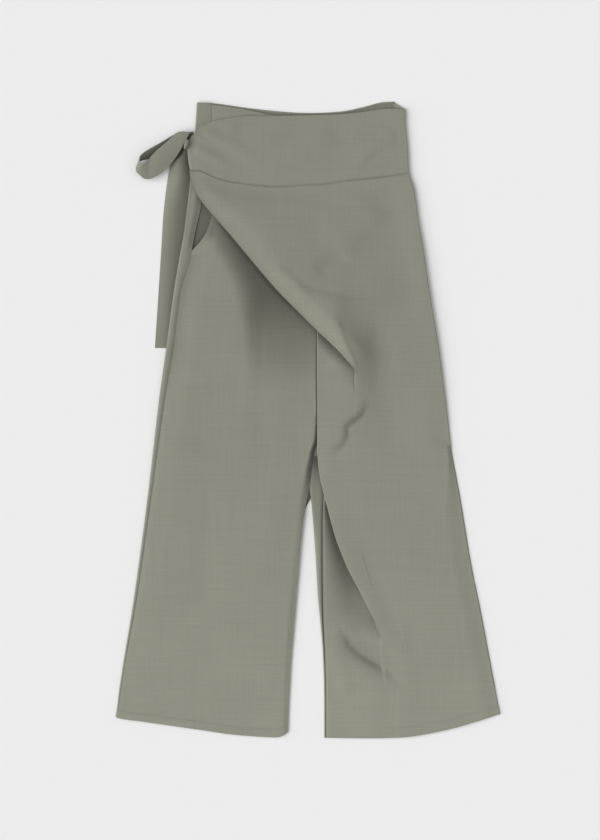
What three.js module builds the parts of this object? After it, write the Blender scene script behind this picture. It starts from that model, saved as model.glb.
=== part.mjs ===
// Wrap-front wide-leg trousers, laid flat on a surface with the front up.
// Millimetres. X runs to the right as seen from above, Y towards the waist, Z up from the surface.
// Each panel is a thin wall of cloth. It is worked out from sections across the garment:
// a section is a line of points in X and Z, and the wall stands half a cloth thickness to each side.
import * as THREE from "three";

// Driving dimensions
const cloth = 1.0; // thickness of every wall
const seamGap = 0.3; // space left between two pieces where they are sewn or lie on each other
const layer = cloth + seamGap; // middle of one layer to the middle of the next
const turnRadius = layer / 2; // a tight fold, at the middle of the cloth
const floorMid = cloth / 2; // middle of a layer that rests on the surface
const lowest = floorMid + layer + 0.1; // middle of a layer that lies on a back panel
const edgeRadius = 1.5; // the roll of cloth along the right edge
const yokeRadius = 2.6; // and at the left end of the yoke
const crotchY = -58; // the inseams meet here
const wrapEndY = -40; // below this the right side seam lies on the edge

// Values of a table between its rows, on a smooth curve
function curve(rows, at, column) {
  const points = rows.map((row) => ({ t: row[at], v: row[column] })).sort((a, b) => a.t - b.t);
  const last = points.length - 1;
  const slope = points.map((point, i) => {
    const before = points[Math.max(i - 1, 0)];
    const after = points[Math.min(i + 1, last)];
    return (after.v - before.v) / (after.t - before.t);
  });
  return (t) => {
    if (t <= points[0].t) return points[0].v;
    if (t >= points[last].t) return points[last].v;
    const i = points.findIndex((point) => point.t > t) - 1;
    const span = points[i + 1].t - points[i].t;
    const u = (t - points[i].t) / span;
    const start = points[i].v * (1 - u) * (1 - u) * (1 + 2 * u) + points[i + 1].v * u * u * (3 - 2 * u);
    return start + span * (slope[i] * u * (1 - u) * (1 - u) - slope[i + 1] * u * u * (1 - u));
  };
}

// The same with straight lines between the rows
function polyline(rows, at, column) {
  const points = rows.map((row) => ({ t: row[at], v: row[column] })).sort((a, b) => a.t - b.t);
  return (t) => {
    const i = THREE.MathUtils.clamp(points.findIndex((point) => point.t > t) - 1, 0, points.length - 2);
    const from = t >= points[points.length - 1].t ? points.length - 2 : i;
    const share = (t - points[from].t) / (points[from + 1].t - points[from].t);
    return mix(points[from].v, points[from + 1].v, THREE.MathUtils.clamp(share, 0, 1));
  };
}

const mix = THREE.MathUtils.lerp;
const ease = THREE.MathUtils.smoothstep; // ease(value, from, to) runs 0 to 1

// Outlines, seen from above. y falls from the waist to the hem.
const leftSide = [
  { y: 498, edge: -174, seam: -150 },
  { y: 465, edge: -176, seam: -151 },
  { y: 408, edge: -181, seam: -158 },
  { y: 340, edge: -188.5, seam: -166.5 },
  { y: 292, edge: -194.5, seam: -177 },
  { y: 250, edge: -202, seam: -184.5 },
  { y: 202, edge: -210, seam: -199 },
  { y: 113, edge: -222, seam: -210.5 },
  { y: 31, edge: -233.5, seam: -224 },
  { y: -126, edge: -252, seam: -246 },
  { y: -284, edge: -273.5, seam: -268.5 },
  { y: -378, edge: -289, seam: -286 },
  { y: -470, edge: -303, seam: -300 },
];
const leftInner = [
  { y: 498, x: 0 },
  { y: 300, x: 24 },
  { y: 20, x: 34 },
  { y: 0, x: 33 },
  { y: -22, x: 26 },
  { y: -45, x: 12 },
  { y: -62, x: 9 },
  { y: -81, x: 6 },
  { y: -109, x: 2.5 },
  { y: -144, x: -4.2 },
  { y: -189, x: -9.8 },
  { y: -250, x: -14.8 },
  { y: -315, x: -20 },
  { y: -378, x: -25.3 },
  { y: -441, x: -28.8 },
  { y: -498, x: -31 },
];
const pocketMouth = [
  { y: 437, x: -112 },
  { y: 400, x: -118 },
  { y: 377, x: -127 },
  { y: 345, x: -140 },
  { y: 322, x: -149 },
  { y: 303, x: -155.5 },
  { y: 290, x: -161 },
  { y: 278, x: -169 },
  { y: 266, x: -181 },
];
const centreBack = [
  { y: 498, x: -30 },
  { y: 200, x: -8 },
  { y: 0, x: 7 },
  { y: -43, x: 8.6 },
  { y: -58, x: 7.6 },
  { y: -81, x: 5 },
  { y: -109, x: 2.5 },
];
const rightSide = [
  { y: 500, edge: 154 },
  { y: 465, edge: 154 },
  { y: 424, edge: 157.5 },
  { y: 388, edge: 159.5 },
  { y: 361, edge: 167.5 },
  { y: 314, edge: 174 },
  { y: 267, edge: 182 },
  { y: 199, edge: 192 },
  { y: 120, edge: 205 },
  { y: 31, edge: 217 },
  { y: -42, edge: 225.5 },
  { y: -126, edge: 240.5 },
  { y: -229, edge: 257.5 },
  { y: -295, edge: 271 },
  { y: -380, edge: 287 },
  { y: -465, edge: 303 },
];
const rightInner = [
  { y: -58, edge: 9.4, seam: 27 },
  { y: -109, edge: 4.4, seam: 26 },
  { y: -139, edge: 6.8, seam: 23.5 },
  { y: -186, edge: 10.6, seam: 23 },
  { y: -236, edge: 13.8, seam: 23 },
  { y: -276, edge: 16, seam: 23.5 },
  { y: -313, edge: 19.5, seam: 23.8 },
  { y: -361, edge: 23.6, seam: 26 },
  { y: -422, edge: 25.8, seam: 28 },
  { y: -500, edge: 26, seam: 28.3 },
];
const apronEdge = [
  { y: 391, x: -186 },
  { y: 372, x: -182.5 },
  { y: 359, x: -177 },
  { y: 343, x: -167 },
  { y: 321, x: -149 },
  { y: 290, x: -122 },
  { y: 260, x: -97 },
  { y: 229, x: -71 },
  { y: 202, x: -47.5 },
  { y: 166, x: -12 },
  { y: 139, x: 15 },
  { y: 122, x: 33 },
  { y: 103, x: 52 },
  { y: 91, x: 62.5 },
  { y: 82, x: 70.5 },
  { y: 70, x: 75.5 },
  { y: 30, x: 76 },
  { y: -60, x: 74 },
  { y: -180, x: 92 },
  { y: -266, x: 124 },
  { y: -340, x: 150 },
  { y: -500, x: 160 },
];
const innerPleat = [
  { y: 392, x: 15 },
  { y: -40, x: 15 },
  { y: -74, x: 16.8 },
  { y: -101, x: 21.5 },
  { y: -134, x: 30 },
  { y: -158, x: 36 },
  { y: -192, x: 46 },
  { y: -236, x: 64 },
  { y: -266, x: 80 },
  { y: -307, x: 100 },
  { y: -340, x: 114 },
  { y: -400, x: 122 },
  { y: -500, x: 126 },
];

// Edges that run across, seen from above
const backTop = [
  { x: -174, y: 498 },
  { x: -147, y: 497 },
  { x: -90, y: 489 },
  { x: -12, y: 482 },
  { x: 51, y: 484 },
  { x: 87, y: 491 },
  { x: 114, y: 498 },
  { x: 139, y: 500 },
];
const frontTop = [
  { x: -150, y: 494.5 },
  { x: -116, y: 490 },
  { x: -81, y: 483.5 },
  { x: -63, y: 479.5 },
  { x: -30, y: 474 },
  { x: 15, y: 470 },
];
const yokeTop = [
  { x: -190, y: 430 },
  { x: -187, y: 437 },
  { x: -184, y: 441.3 },
  { x: -180, y: 447 },
  { x: -176, y: 451 },
  { x: -171, y: 458 },
  { x: -157, y: 465 },
  { x: -140, y: 470 },
  { x: -104, y: 475.4 },
  { x: -12, y: 477.4 },
  { x: 46, y: 479.4 },
  { x: 80, y: 482 },
  { x: 107, y: 486 },
  { x: 124, y: 488 },
  { x: 154, y: 487 },
];
// The yoke's left end, from its top edge (0) down to its seam (1)
const yokeLeft = [
  { down: 0, x: -189.9 },
  { down: 0.45, x: -188.3 },
  { down: 0.7, x: -187.2 },
  { down: 0.9, x: -185.5 },
  { down: 1, x: -184 },
];
const yokeSeam = [
  { x: 160, y: 387 },
  { x: 128, y: 382.5 },
  { x: 96, y: 378.5 },
  { x: 65, y: 375.5 },
  { x: 31, y: 370.5 },
  { x: -6, y: 368.5 },
  { x: -53, y: 366 },
  { x: -92, y: 370 },
  { x: -124, y: 374.5 },
  { x: -148.5, y: 382 },
  { x: -166, y: 390 },
  { x: -186, y: 391 },
];
const leftHem = [
  { x: -303, y: -462.5 },
  { x: -299, y: -468.5 },
  { x: -262, y: -474 },
  { x: -164, y: -488 },
  { x: -119, y: -494.5 },
  { x: -65, y: -498.5 },
  { x: -43, y: -498 },
  { x: -31, y: -491 },
];
const rightHem = [
  { x: 26, y: -500 },
  { x: 104, y: -500.5 },
  { x: 156, y: -498.5 },
  { x: 196, y: -492 },
  { x: 236, y: -483 },
  { x: 303, y: -462.5 },
];

// The pleats: how far the cloth doubles back, and the angle through which it turns
const apronPleat = [
  { y: 391, length: 14, turn: 180 },
  { y: 172, length: 14, turn: 180 },
  { y: 152, length: 34, turn: 180 },
  { y: 122, length: 24, turn: 180 },
  { y: 103, length: 14, turn: 180 },
  { y: 90, length: 6, turn: 180 },
  { y: 80, length: 2.5, turn: 150 },
  { y: 74, length: 1.9, turn: 90 },
  { y: 66, length: 1.5, turn: 30 },
  { y: 58, length: 1.5, turn: 8 },
  { y: 50, length: 1.5, turn: 0 },
];
const legPleat = [
  { y: 152, length: 36, turn: 180, top: 6.6 },
  { y: 60, length: 36, turn: 180, top: 7.2 },
  { y: -40, length: 36, turn: 180, top: 8.0 },
  { y: -104, length: 35, turn: 180, top: 9.0 },
  { y: -200, length: 34, turn: 180, top: 11 },
  { y: -262, length: 22, turn: 180, top: 11.5 },
  { y: -290, length: 11, turn: 180, top: 11 },
  { y: -304, length: 5, turn: 178, top: 10.6 },
  { y: -316, length: 2, turn: 130, top: 10 },
  { y: -326, length: 1, turn: 70, top: 9.4 },
  { y: -338, length: 1, turn: 28, top: 8.6 },
  { y: -368, length: 1, turn: 0, top: 6.7 },
  { y: -420, length: 1, turn: 0, top: 4.8 },
  { y: -500, length: 1, turn: 0, top: 3.5 },
];

// Heights of the left front at the middle of its cloth: along its side seam, on the thigh, in the hollow
// beside the thigh and towards the inner leg. The thigh ends and the hollow starts at these x.
// The cloth rolls down to the inner leg over the given width.
const leftHeights = [
  { y: 500, seam: 4.4, thigh: 4.6, hollow: 3.4, inner: 2, thighEnd: -130, hollowStart: -70, roll: 4 },
  { y: 440, seam: 4.8, thigh: 5, hollow: 3.4, inner: 2, thighEnd: -142, hollowStart: -93.5, roll: 4 },
  { y: 391, seam: 5.4, thigh: 5.8, hollow: 3.4, inner: 2, thighEnd: -150, hollowStart: -110, roll: 4 },
  { y: 340, seam: 6.4, thigh: 7, hollow: 3.4, inner: 2, thighEnd: -155.5, hollowStart: -117, roll: 4 },
  { y: 300, seam: 7.4, thigh: 9, hollow: 2.3, inner: 2, thighEnd: -160, hollowStart: -116, roll: 4 },
  { y: 275, seam: 7.9, thigh: 10.2, hollow: 2.2, inner: 2, thighEnd: -154, hollowStart: -105, roll: 4 },
  { y: 251, seam: 8.2, thigh: 10.8, hollow: 2.2, inner: 2, thighEnd: -138, hollowStart: -93, roll: 4 },
  { y: 219, seam: 8.3, thigh: 11, hollow: 2.2, inner: 2, thighEnd: -122, hollowStart: -76, roll: 4 },
  { y: 188, seam: 8.2, thigh: 11.1, hollow: 2.4, inner: 2, thighEnd: -112, hollowStart: -70, roll: 4 },
  { y: 157, seam: 8, thigh: 11, hollow: 4, inner: 3, thighEnd: -106, hollowStart: -72, roll: 4 },
  { y: 125, seam: 7.8, thigh: 10.8, hollow: 6.4, inner: 4.4, thighEnd: -102, hollowStart: -71.5, roll: 4 },
  { y: 94, seam: 7.4, thigh: 10.5, hollow: 8, inner: 5.4, thighEnd: -98, hollowStart: -71, roll: 4 },
  { y: 62, seam: 7, thigh: 10, hollow: 8.6, inner: 6.2, thighEnd: -97, hollowStart: -70, roll: 4 },
  { y: 0, seam: 6.3, thigh: 8.6, hollow: 7.6, inner: 6.2, thighEnd: -98.5, hollowStart: -69, roll: 4 },
  { y: -60, seam: 5.7, thigh: 7.6, hollow: 6.9, inner: 5.8, thighEnd: -100.5, hollowStart: -68, roll: 8 },
  { y: -150, seam: 5, thigh: 6.4, hollow: 5.9, inner: 5.3, thighEnd: -104, hollowStart: -66, roll: 13 },
  { y: -250, seam: 4.3, thigh: 5.3, hollow: 5, inner: 4.7, thighEnd: -108.5, hollowStart: -64.5, roll: 12 },
  { y: -350, seam: 3.7, thigh: 4.4, hollow: 4.2, inner: 4.2, thighEnd: -113, hollowStart: -62.5, roll: 11 },
  { y: -500, seam: 3, thigh: 3.2, hollow: 3.1, inner: 3.2, thighEnd: -120, hollowStart: -60, roll: 9 },
];

// The left front's inner edge: the fold of the right leg lies over it here, and it rests at this height
const innerFold = [
  { y: 500, x: 17, z: 1.9 },
  { y: 20, x: 17, z: 1.9 },
  { y: -30, x: 15.5, z: 1.9 },
  { y: -60, x: 15, z: 1.9 },
  { y: -90, x: 15, z: 1.9 },
  { y: -120, x: 15, z: 2.6 },
  { y: -150, x: 15, z: 4.4 },
  { y: -200, x: 15, z: 4.4 },
  { y: -280, x: 15, z: 3 },
  { y: -400, x: 15, z: 2.4 },
  { y: -500, x: 15, z: 1.9 },
];

// How far the left back reaches past the left front below the crotch
const crotchReach = [
  { y: -100, x: 0 },
  { y: -112, x: 1.4 },
  { y: -126, x: 6 },
  { y: -138, x: 5 },
  { y: -150, x: 0 },
];

// Heights of the right front: edge is the apron's edge, and the leg's inner part below it. A band of cloth
// beside that edge bulges above it. leg is the plain leg, which the apron comes down to between
// the distances near and far from its edge. lift raises the right edge.
const rightHeights = [
  { y: 500, edge: 8.4, band: 0, near: 20, far: 300, leg: 5.4, lift: 0.2 },
  { y: 391, edge: 9, band: 0.6, near: 20, far: 300, leg: 5.5, lift: 0.5 },
  { y: 360, edge: 10.4, band: 2, near: 28, far: 290, leg: 5.5, lift: 0.7 },
  { y: 330, edge: 11.6, band: 3.6, near: 35, far: 280, leg: 5.5, lift: 1 },
  { y: 290, edge: 12.6, band: 4.6, near: 41, far: 260, leg: 5.6, lift: 1.2 },
  { y: 250, edge: 12.8, band: 5, near: 42, far: 241, leg: 5.6, lift: 1.4 },
  { y: 200, edge: 12.6, band: 5.4, near: 40, far: 208, leg: 5.6, lift: 1.4 },
  { y: 160, edge: 12.4, band: 5.9, near: 31, far: 148, leg: 5.6, lift: 1.2 },
  { y: 139, edge: 12.2, band: 6, near: 25, far: 115, leg: 5.6, lift: 1 },
  { y: 115, edge: 12, band: 5.3, near: 18, far: 90, leg: 5.6, lift: 0.8 },
  { y: 90, edge: 11.2, band: 3.5, near: 10, far: 70, leg: 5.5, lift: 0.5 },
  { y: 70, edge: 10.5, band: 1.5, near: 5, far: 62, leg: 5.5, lift: 0.2 },
  { y: 40, edge: 9.8, band: 0.5, near: 1, far: 58, leg: 5.5, lift: -0.4 },
  { y: 0, edge: 9.4, band: 0, near: 0, far: 60, leg: 5.4, lift: -1.3 },
  { y: -60, edge: 9.2, band: 0, near: 0, far: 90, leg: 5.3, lift: -2.4 },
  { y: -140, edge: 9.4, band: 0, near: 0, far: 118, leg: 5, lift: -2.4 },
  { y: -240, edge: 9, band: 0, near: 0, far: 133, leg: 4.8, lift: -2.3 },
  { y: -340, edge: 7.4, band: 0, near: 0, far: 134, leg: 4.4, lift: -2.2 },
  { y: -420, edge: 5.5, band: 0, near: 0, far: 131, leg: 4, lift: -2.1 },
  { y: -500, edge: 4.2, band: 0, near: 0, far: 130, leg: 3.6, lift: -2 },
];
const bandWidth = 44;

// Height of the cloth along the right inseam
const inseam = [
  { y: -58, z: 2.4 },
  { y: -110, z: 4.2 },
  { y: -160, z: 5.6 },
  { y: -250, z: 6.0 },
  { y: -300, z: 5.4 },
  { y: -330, z: 4.0 },
  { y: -361, z: 2.8 },
  { y: -380, z: 2.4 },
  { y: -400, z: 2.3 },
  { y: -500, z: 2.1 },
];

// The largest folds. depth is the height of a ridge, or of a trough where it is negative.
const apronFolds = [
  { fromX: -60, fromY: 250, toX: 12, toY: 196, width: 10, depth: 2.0 },
  { fromX: 38, fromY: 206, toX: 82, toY: 58, width: 28, depth: 5.2 },
  { fromX: 13, fromY: 227, toX: 68, toY: 262, width: 9, depth: -2.4 },
  { fromX: 35, fromY: 250, toX: 126, toY: 340, width: 26, depth: 3.0 },
  { fromX: 108, fromY: 190, toX: 112, toY: 0, width: 14, depth: -1.0 },
  { fromX: -60, fromY: 352, toX: 60, toY: 300, width: 24, depth: 0.8 },
];
const yokeFolds = [
  { fromX: -181, fromY: 427, toX: -114, toY: 393, width: 9, depth: 2.2 },
  { fromX: -173, fromY: 452, toX: -66, toY: 395, width: 11, depth: 2.5 },
  { fromX: -142, fromY: 470, toX: -104, toY: 448, width: 13, depth: 1.4 },
  { fromX: 16, fromY: 456, toX: 84, toY: 455, width: 14, depth: -0.8 },
  { fromX: 150, fromY: 449, toX: 72, toY: 388, width: 12, depth: 1.5 },
];
const legFolds = [
  { fromX: 50, fromY: -318, toX: 91, toY: -376, width: 16, depth: -2.3 },
  { fromX: 91, fromY: -376, toX: 163, toY: -418, width: 16, depth: -2.2 },
  { fromX: 40, fromY: -345, toX: 68, toY: -440, width: 12, depth: 1.0 },
  { fromX: 110, fromY: -330, toX: 180, toY: -395, width: 20, depth: 0.9 },
  { fromX: 58, fromY: -20, toX: 97, toY: 30, width: 8, depth: -1.0 },
];
const leftFolds = [
  { fromX: -200, fromY: 180, toX: -262, toY: -380, width: 40, depth: 0.7 },
  { fromX: -60, fromY: -40, toX: -70, toY: -420, width: 32, depth: 0.6 },
  { fromX: -150, fromY: -60, toX: -172, toY: -330, width: 15, depth: -0.5 },
];

// Sum of the folds at a point: each runs along a line, dies out to the sides and at its ends
function foldHeight(folds, x, y) {
  return folds.reduce((sum, fold) => {
    const runX = fold.toX - fold.fromX;
    const runY = fold.toY - fold.fromY;
    const run = Math.hypot(runX, runY);
    const along = ((x - fold.fromX) * runX + (y - fold.fromY) * runY) / (run * run);
    const aside = ((x - fold.fromX) * runY - (y - fold.fromY) * runX) / run;
    const ends = ease(along, -0.15, 0.2) * (1 - ease(along, 0.75, 1.15));
    return sum + fold.depth * ends * Math.exp(-((aside / fold.width) ** 2));
  }, 0);
}

// Functions of the outlines
const leftEdgeX = curve(leftSide, "y", "edge");
const leftSeamX = curve(leftSide, "y", "seam");
const leftInnerX = curve(leftInner, "y", "x");
const pocketMouthX = curve(pocketMouth, "y", "x");
const centreBackX = curve(centreBack, "y", "x");
const rightEdgeX = curve(rightSide, "y", "edge");
const rightInnerX = curve(rightInner, "y", "edge");
const inseamX = curve(rightInner, "y", "seam");
const apronEdgeX = curve(apronEdge, "y", "x");
const innerPleatX = curve(innerPleat, "y", "x");
const backTopY = curve(backTop, "x", "y");
const frontTopY = curve(frontTop, "x", "y");
const yokeTopY = curve(yokeTop, "x", "y");
const yokeSeamY = polyline(yokeSeam, "x", "y");
const leftHemY = curve(leftHem, "x", "y");
const rightHemY = curve(rightHem, "x", "y");
const yokeLeftX = curve(yokeLeft, "down", "x");
const inseamHeight = curve(inseam, "y", "z");
const innerFoldX = curve(innerFold, "y", "x");
const innerEdgeHeight = curve(innerFold, "y", "z");
const crotchReachX = curve(crotchReach, "y", "x");
const leftAt = columnCurves(leftHeights);
const rightAt = columnCurves(rightHeights);

// A curve down the garment for each named column of a table
function columnCurves(rows) {
  const names = Object.keys(rows[0]).filter((name) => name !== "y");
  return Object.fromEntries(names.map((name) => [name, curve(rows, "y", name)]));
}

// Height along the seam between the yoke and the right front
function seamHeight(x) {
  return mix(8.6, 5.5, ease(x, -170, -90)) - 0.6 * Math.exp(-(((x + 30) / 60) ** 2));
}

// How far the front folds round the right edge on to the underside
function rightWrap(y) {
  return 16 * ease(y, wrapEndY, 250) + 3;
}

// The tail of the tie, whose right edge is tucked under the left edge of the trousers
const tailSections = [
  { y: 440, left: -195, right: -188.2, leftHeight: 8.0, rightHeight: 7.8, crown: 0 },
  { y: 432, left: -199, right: -191, leftHeight: 8.0, rightHeight: 7.6, crown: 0 },
  { y: 425, left: -203, right: -191, leftHeight: 7.0, rightHeight: 6.2, crown: 0.4 },
  { y: 418, left: -207, right: -190.6, leftHeight: 5.6, rightHeight: 4.0, crown: 0.9 },
  { y: 411, left: -210.5, right: -189.4, leftHeight: 4.5, rightHeight: 2.2, crown: 1.8 },
  { y: 398, left: -215.2, right: -186.4, leftHeight: 3.0, rightHeight: 1.2, crown: 3.4 },
  { y: 383, left: -218.6, right: -184.4, leftHeight: 1.7, rightHeight: 0.6, crown: 4.1 },
  { y: 365, left: -221.5, right: -186, leftHeight: 1.0, rightHeight: 0.6, crown: 4.0 },
  { y: 350, left: -223.5, right: -188, leftHeight: 0.6, rightHeight: 0.6, crown: 3.6 },
  { y: 314, left: -227, right: -192.3, leftHeight: 0.6, rightHeight: 0.6, crown: 2.4 },
  { y: 282, left: -229, right: -196.4, leftHeight: 0.6, rightHeight: 0.6, crown: 1.2 },
  { y: 235, left: -232, right: -199, leftHeight: 0.6, rightHeight: 0.6, crown: 0.5 },
  { y: 188, left: -235, right: -202, leftHeight: 0.6, rightHeight: 0.6, crown: 0.2 },
  { y: 112.5, left: -240, right: -207, leftHeight: 0.6, rightHeight: 0.6, crown: 0 },
];
const tailRightX = curve(tailSections, "y", "right");

// Height of the left back where it lies over the tucked edge of the tail
function tailLift(x, y) {
  const across = 1 - ease(x, tailRightX(y) + 1, tailRightX(y) + 16);
  const lengthwise = ease(y, 70, 84) * (1 - ease(y, 284, 304));
  return (layer + 0.1) * across * lengthwise;
}

// A row of cells is left out where present(row, column) is false
function clothWall(sections, present = () => true) {
  const rowCount = sections.length;
  const columnCount = sections[0].length;
  const positions = [];
  for (const section of sections) {
    section.forEach((point, j) => {
      const before = section[Math.max(j - 1, 0)];
      const after = section[Math.min(j + 1, columnCount - 1)];
      const toward = unit(point.x - before.x, point.z - before.z, after.x - point.x, after.z - point.z);
      const half = cloth / 2 / toward.spread;
      positions.push(point.x + toward.z * half, point.y, point.z - toward.x * half);
      positions.push(point.x - toward.z * half, point.y, point.z + toward.x * half);
    });
  }
  const upper = (i, j) => 2 * (i * columnCount + j);
  const lower = (i, j) => upper(i, j) + 1;
  const inside = (i, j) => i >= 0 && j >= 0 && i < rowCount - 1 && j < columnCount - 1 && present(i, j);
  const faces = [];
  const side = (i, j, i2, j2) => {
    faces.push(upper(i, j), lower(i, j), lower(i2, j2), upper(i, j), lower(i2, j2), upper(i2, j2));
  };
  for (let i = 0; i < rowCount - 1; i += 1) {
    for (let j = 0; j < columnCount - 1; j += 1) {
      if (!inside(i, j)) continue;
      faces.push(upper(i, j), upper(i + 1, j), upper(i + 1, j + 1));
      faces.push(upper(i, j), upper(i + 1, j + 1), upper(i, j + 1));
      faces.push(lower(i, j), lower(i + 1, j + 1), lower(i + 1, j));
      faces.push(lower(i, j), lower(i, j + 1), lower(i + 1, j + 1));
      if (!inside(i - 1, j)) side(i, j + 1, i, j);
      if (!inside(i + 1, j)) side(i + 1, j, i + 1, j + 1);
      if (!inside(i, j - 1)) side(i, j, i + 1, j);
      if (!inside(i, j + 1)) side(i + 1, j + 1, i, j + 1);
    }
  }
  return solidGeometry(positions, faces);
}

// Direction of a section at a point, halfway between the lines that meet there
function unit(x1, z1, x2, z2) {
  const a = Math.hypot(x1, z1);
  const b = Math.hypot(x2, z2);
  const first = a > 0 ? { x: x1 / a, z: z1 / a } : { x: x2 / b, z: z2 / b };
  const second = b > 0 ? { x: x2 / b, z: z2 / b } : first;
  const x = first.x + second.x;
  const z = first.z + second.z;
  const length = Math.hypot(x, z);
  return { x: x / length, z: z / length, spread: Math.max(length / 2, 0.7) };
}

// An indexed geometry with its faces turned outwards and its unused points dropped
function solidGeometry(positions, faces) {
  const corner = (k) => new THREE.Vector3().fromArray(positions, 3 * k);
  let volume = 0;
  for (let k = 0; k < faces.length; k += 3) {
    volume += corner(faces[k]).dot(corner(faces[k + 1]).cross(corner(faces[k + 2])));
  }
  const turned = volume < 0 ? [...faces].reverse() : faces;
  const geometry = new THREE.BufferGeometry();
  geometry.setAttribute("position", new THREE.Float32BufferAttribute(positions, 3));
  geometry.setIndex(turned);
  const flat = geometry.toNonIndexed();
  flat.computeVertexNormals();
  return flat;
}

// A list of numbers with the middle of each step added
function halved(list) {
  return list.flatMap((value, k) => (k === 0 ? [value] : [mix(list[k - 1], value, 0.5), value]));
}

// Evenly spaced numbers from one value to another, both included
function steps(from, to, count) {
  return Array.from({ length: count + 1 }, (_, i) => mix(from, to, i / count));
}

// Points round part of a circle in a section: the heading turns from one angle to another.
// Angles are in degrees: 180 heads left, 270 heads down, 360 heads right.
function arc(start, fromHeading, toHeading, radius, count) {
  const turn = THREE.MathUtils.degToRad(toHeading - fromHeading) / count;
  return bend(start, fromHeading, toHeading, 2 * radius * Math.sin(Math.abs(turn) / 2), count);
}

// The same with chords of a given length, so that a small turn makes a longer and flatter bend
function bend(start, fromHeading, toHeading, chord, count) {
  const points = [];
  let { x, z } = start;
  const turn = THREE.MathUtils.degToRad(toHeading - fromHeading) / count;
  for (let k = 0; k < count; k += 1) {
    const heading = THREE.MathUtils.degToRad(fromHeading) + turn * (k + 0.5);
    x += chord * Math.cos(heading);
    z += chord * Math.sin(heading);
    points.push({ x, z });
  }
  return points;
}

// A pleat seen in section: the cloth heads left, turns under, runs back, and turns to head left again.
// An open pleat runs back only as far as keeps it above the height given as its floor.
const bendChords = 3;
function pleat(start, length, turnAngle, floor) {
  const chord = 2 * turnRadius * Math.sin(Math.PI / 2 / bendChords);
  const under = bend(start, 180, 180 + turnAngle, chord, bendChords);
  const turned = under[bendChords - 1];
  const heading = THREE.MathUtils.degToRad(180 + turnAngle);
  const room = start.z - floor - 2 * (start.z - turned.z);
  const steep = -Math.sin(heading);
  const run = steep > 0.05 ? THREE.MathUtils.clamp(room / steep, 0.3, length) : length;
  const back = { x: turned.x + run * Math.cos(heading), z: turned.z + run * Math.sin(heading) };
  const out = bend(back, 180 + turnAngle, 180, chord, bendChords);
  return [...under, back, ...out];
}

// Height of the left front panel, at the middle of its cloth
function leftFrontHeight(x, y) {
  const seam = leftSeamX(y);
  const groove = grooveAt(y);
  const rollStart = groove - leftAt.roll(y);
  const thigh = mix(leftAt.seam(y), leftAt.thigh(y), ease(x, seam, seam + 38));
  const hollow = mix(thigh, leftAt.hollow(y), ease(x, leftAt.thighEnd(y), leftAt.hollowStart(y)));
  const inner = mix(hollow, leftAt.inner(y), ease(x, leftAt.hollowStart(y), rollStart));
  const rolled = ease(x, rollStart, groove - 0.2);
  const folds = foldHeight(leftFolds, x, y) * (1 - rolled) * ease(x - seam, 0, 10);
  return Math.max(mix(inner, innerEdgeHeight(y), rolled) + folds, lowest);
}

// Where the left front has rolled down: at its inner edge, or before that under the right leg's fold
function grooveAt(y) {
  const inner = leftInnerX(y);
  const fold = innerFoldX(y);
  const softness = 5;
  return (inner + fold - Math.hypot(inner - fold, softness)) / 2;
}

// The backs and the left front share these rows, so that they meet exactly along their seams
const hipRows = [500, 480, 462, 446, 437, 425, 400, 387, 374, 358, 342, 322, 303, 290, 278, 266, 254];
const legRows = [-81, -104, -130, -160, -190, -225, -262, -300, -314, -327, -341, -376, -418, -460, -500];
const sharedRows = [...hipRows, ...steps(220, 0, 5), wrapEndY, wrapEndY - 3, crotchY, ...legRows];

const backColumns = 7;
const stripColumns = 3;

function backLeft() {
  const sections = sharedRows.map((level) => {
    const rowY = (x) => edgeBlend(level, 500, backTopY(x), -500, leftHemY(x));
    const innerX = (level > -109 ? centreBackX(level) : leftInnerX(level)) + crotchReachX(level) - seamGap / 2;
    const point = (x, z) => ({ x, y: rowY(x), z });
    const sampleY = (x) => rowY(x);
    const edge = leftEdgeX(sampleY(leftEdgeX(level))) + cloth / 2;
    const lift = tailLift(edge, sampleY(edge));
    const seam = leftSeamX(rowY(leftSeamX(level))) - seamGap / 2;
    const seamHigh = leftAt.seam(rowY(seam));
    const rise = Math.min(1.3, 0.12 * Math.max(seam - edge - 4, 0)) * (1 - 0.8 * ease(level, 340, 385));
    const top = seamHigh + rise;
    const radius = (top - floorMid - lift) / 2;
    const mouthDrop = Math.min(2.6, seamHigh - 3.9) * ease(level, 262, 280) * (1 - ease(level, 425, 437));
    const overTail = Math.max(tailRightX(level) + 1.5, edge + radius + 4);
    const columns = [...steps(innerX, overTail + 14, backColumns - 2), overTail, edge + radius];
    const across = columns.map((x) => point(x, floorMid + tailLift(x, sampleY(x))));
    const turnStart = { x: edge + radius, z: floorMid + lift };
    const turned = arc(turnStart, 180, 0, radius, 4).map((p) => point(p.x, p.z));
    const strip = steps(0, 1, stripColumns).slice(1).map((share) => {
      return point(mix(edge + radius, seam, share), mix(top, seamHigh - mouthDrop, ease(share, 0.3, 1)));
    });
    return [...across, ...turned, ...strip];
  });
  return clothWall(sections);
}

// Rows lie level in the middle of the garment and follow its top and bottom edges near the ends
function edgeBlend(level, topLevel, topY, bottomLevel, bottomY) {
  const toTop = ease(level, topLevel - 110, topLevel);
  const toBottom = 1 - ease(level, bottomLevel, bottomLevel + 110);
  return level + toTop * (topY - topLevel) + toBottom * (bottomY - bottomLevel);
}

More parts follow.
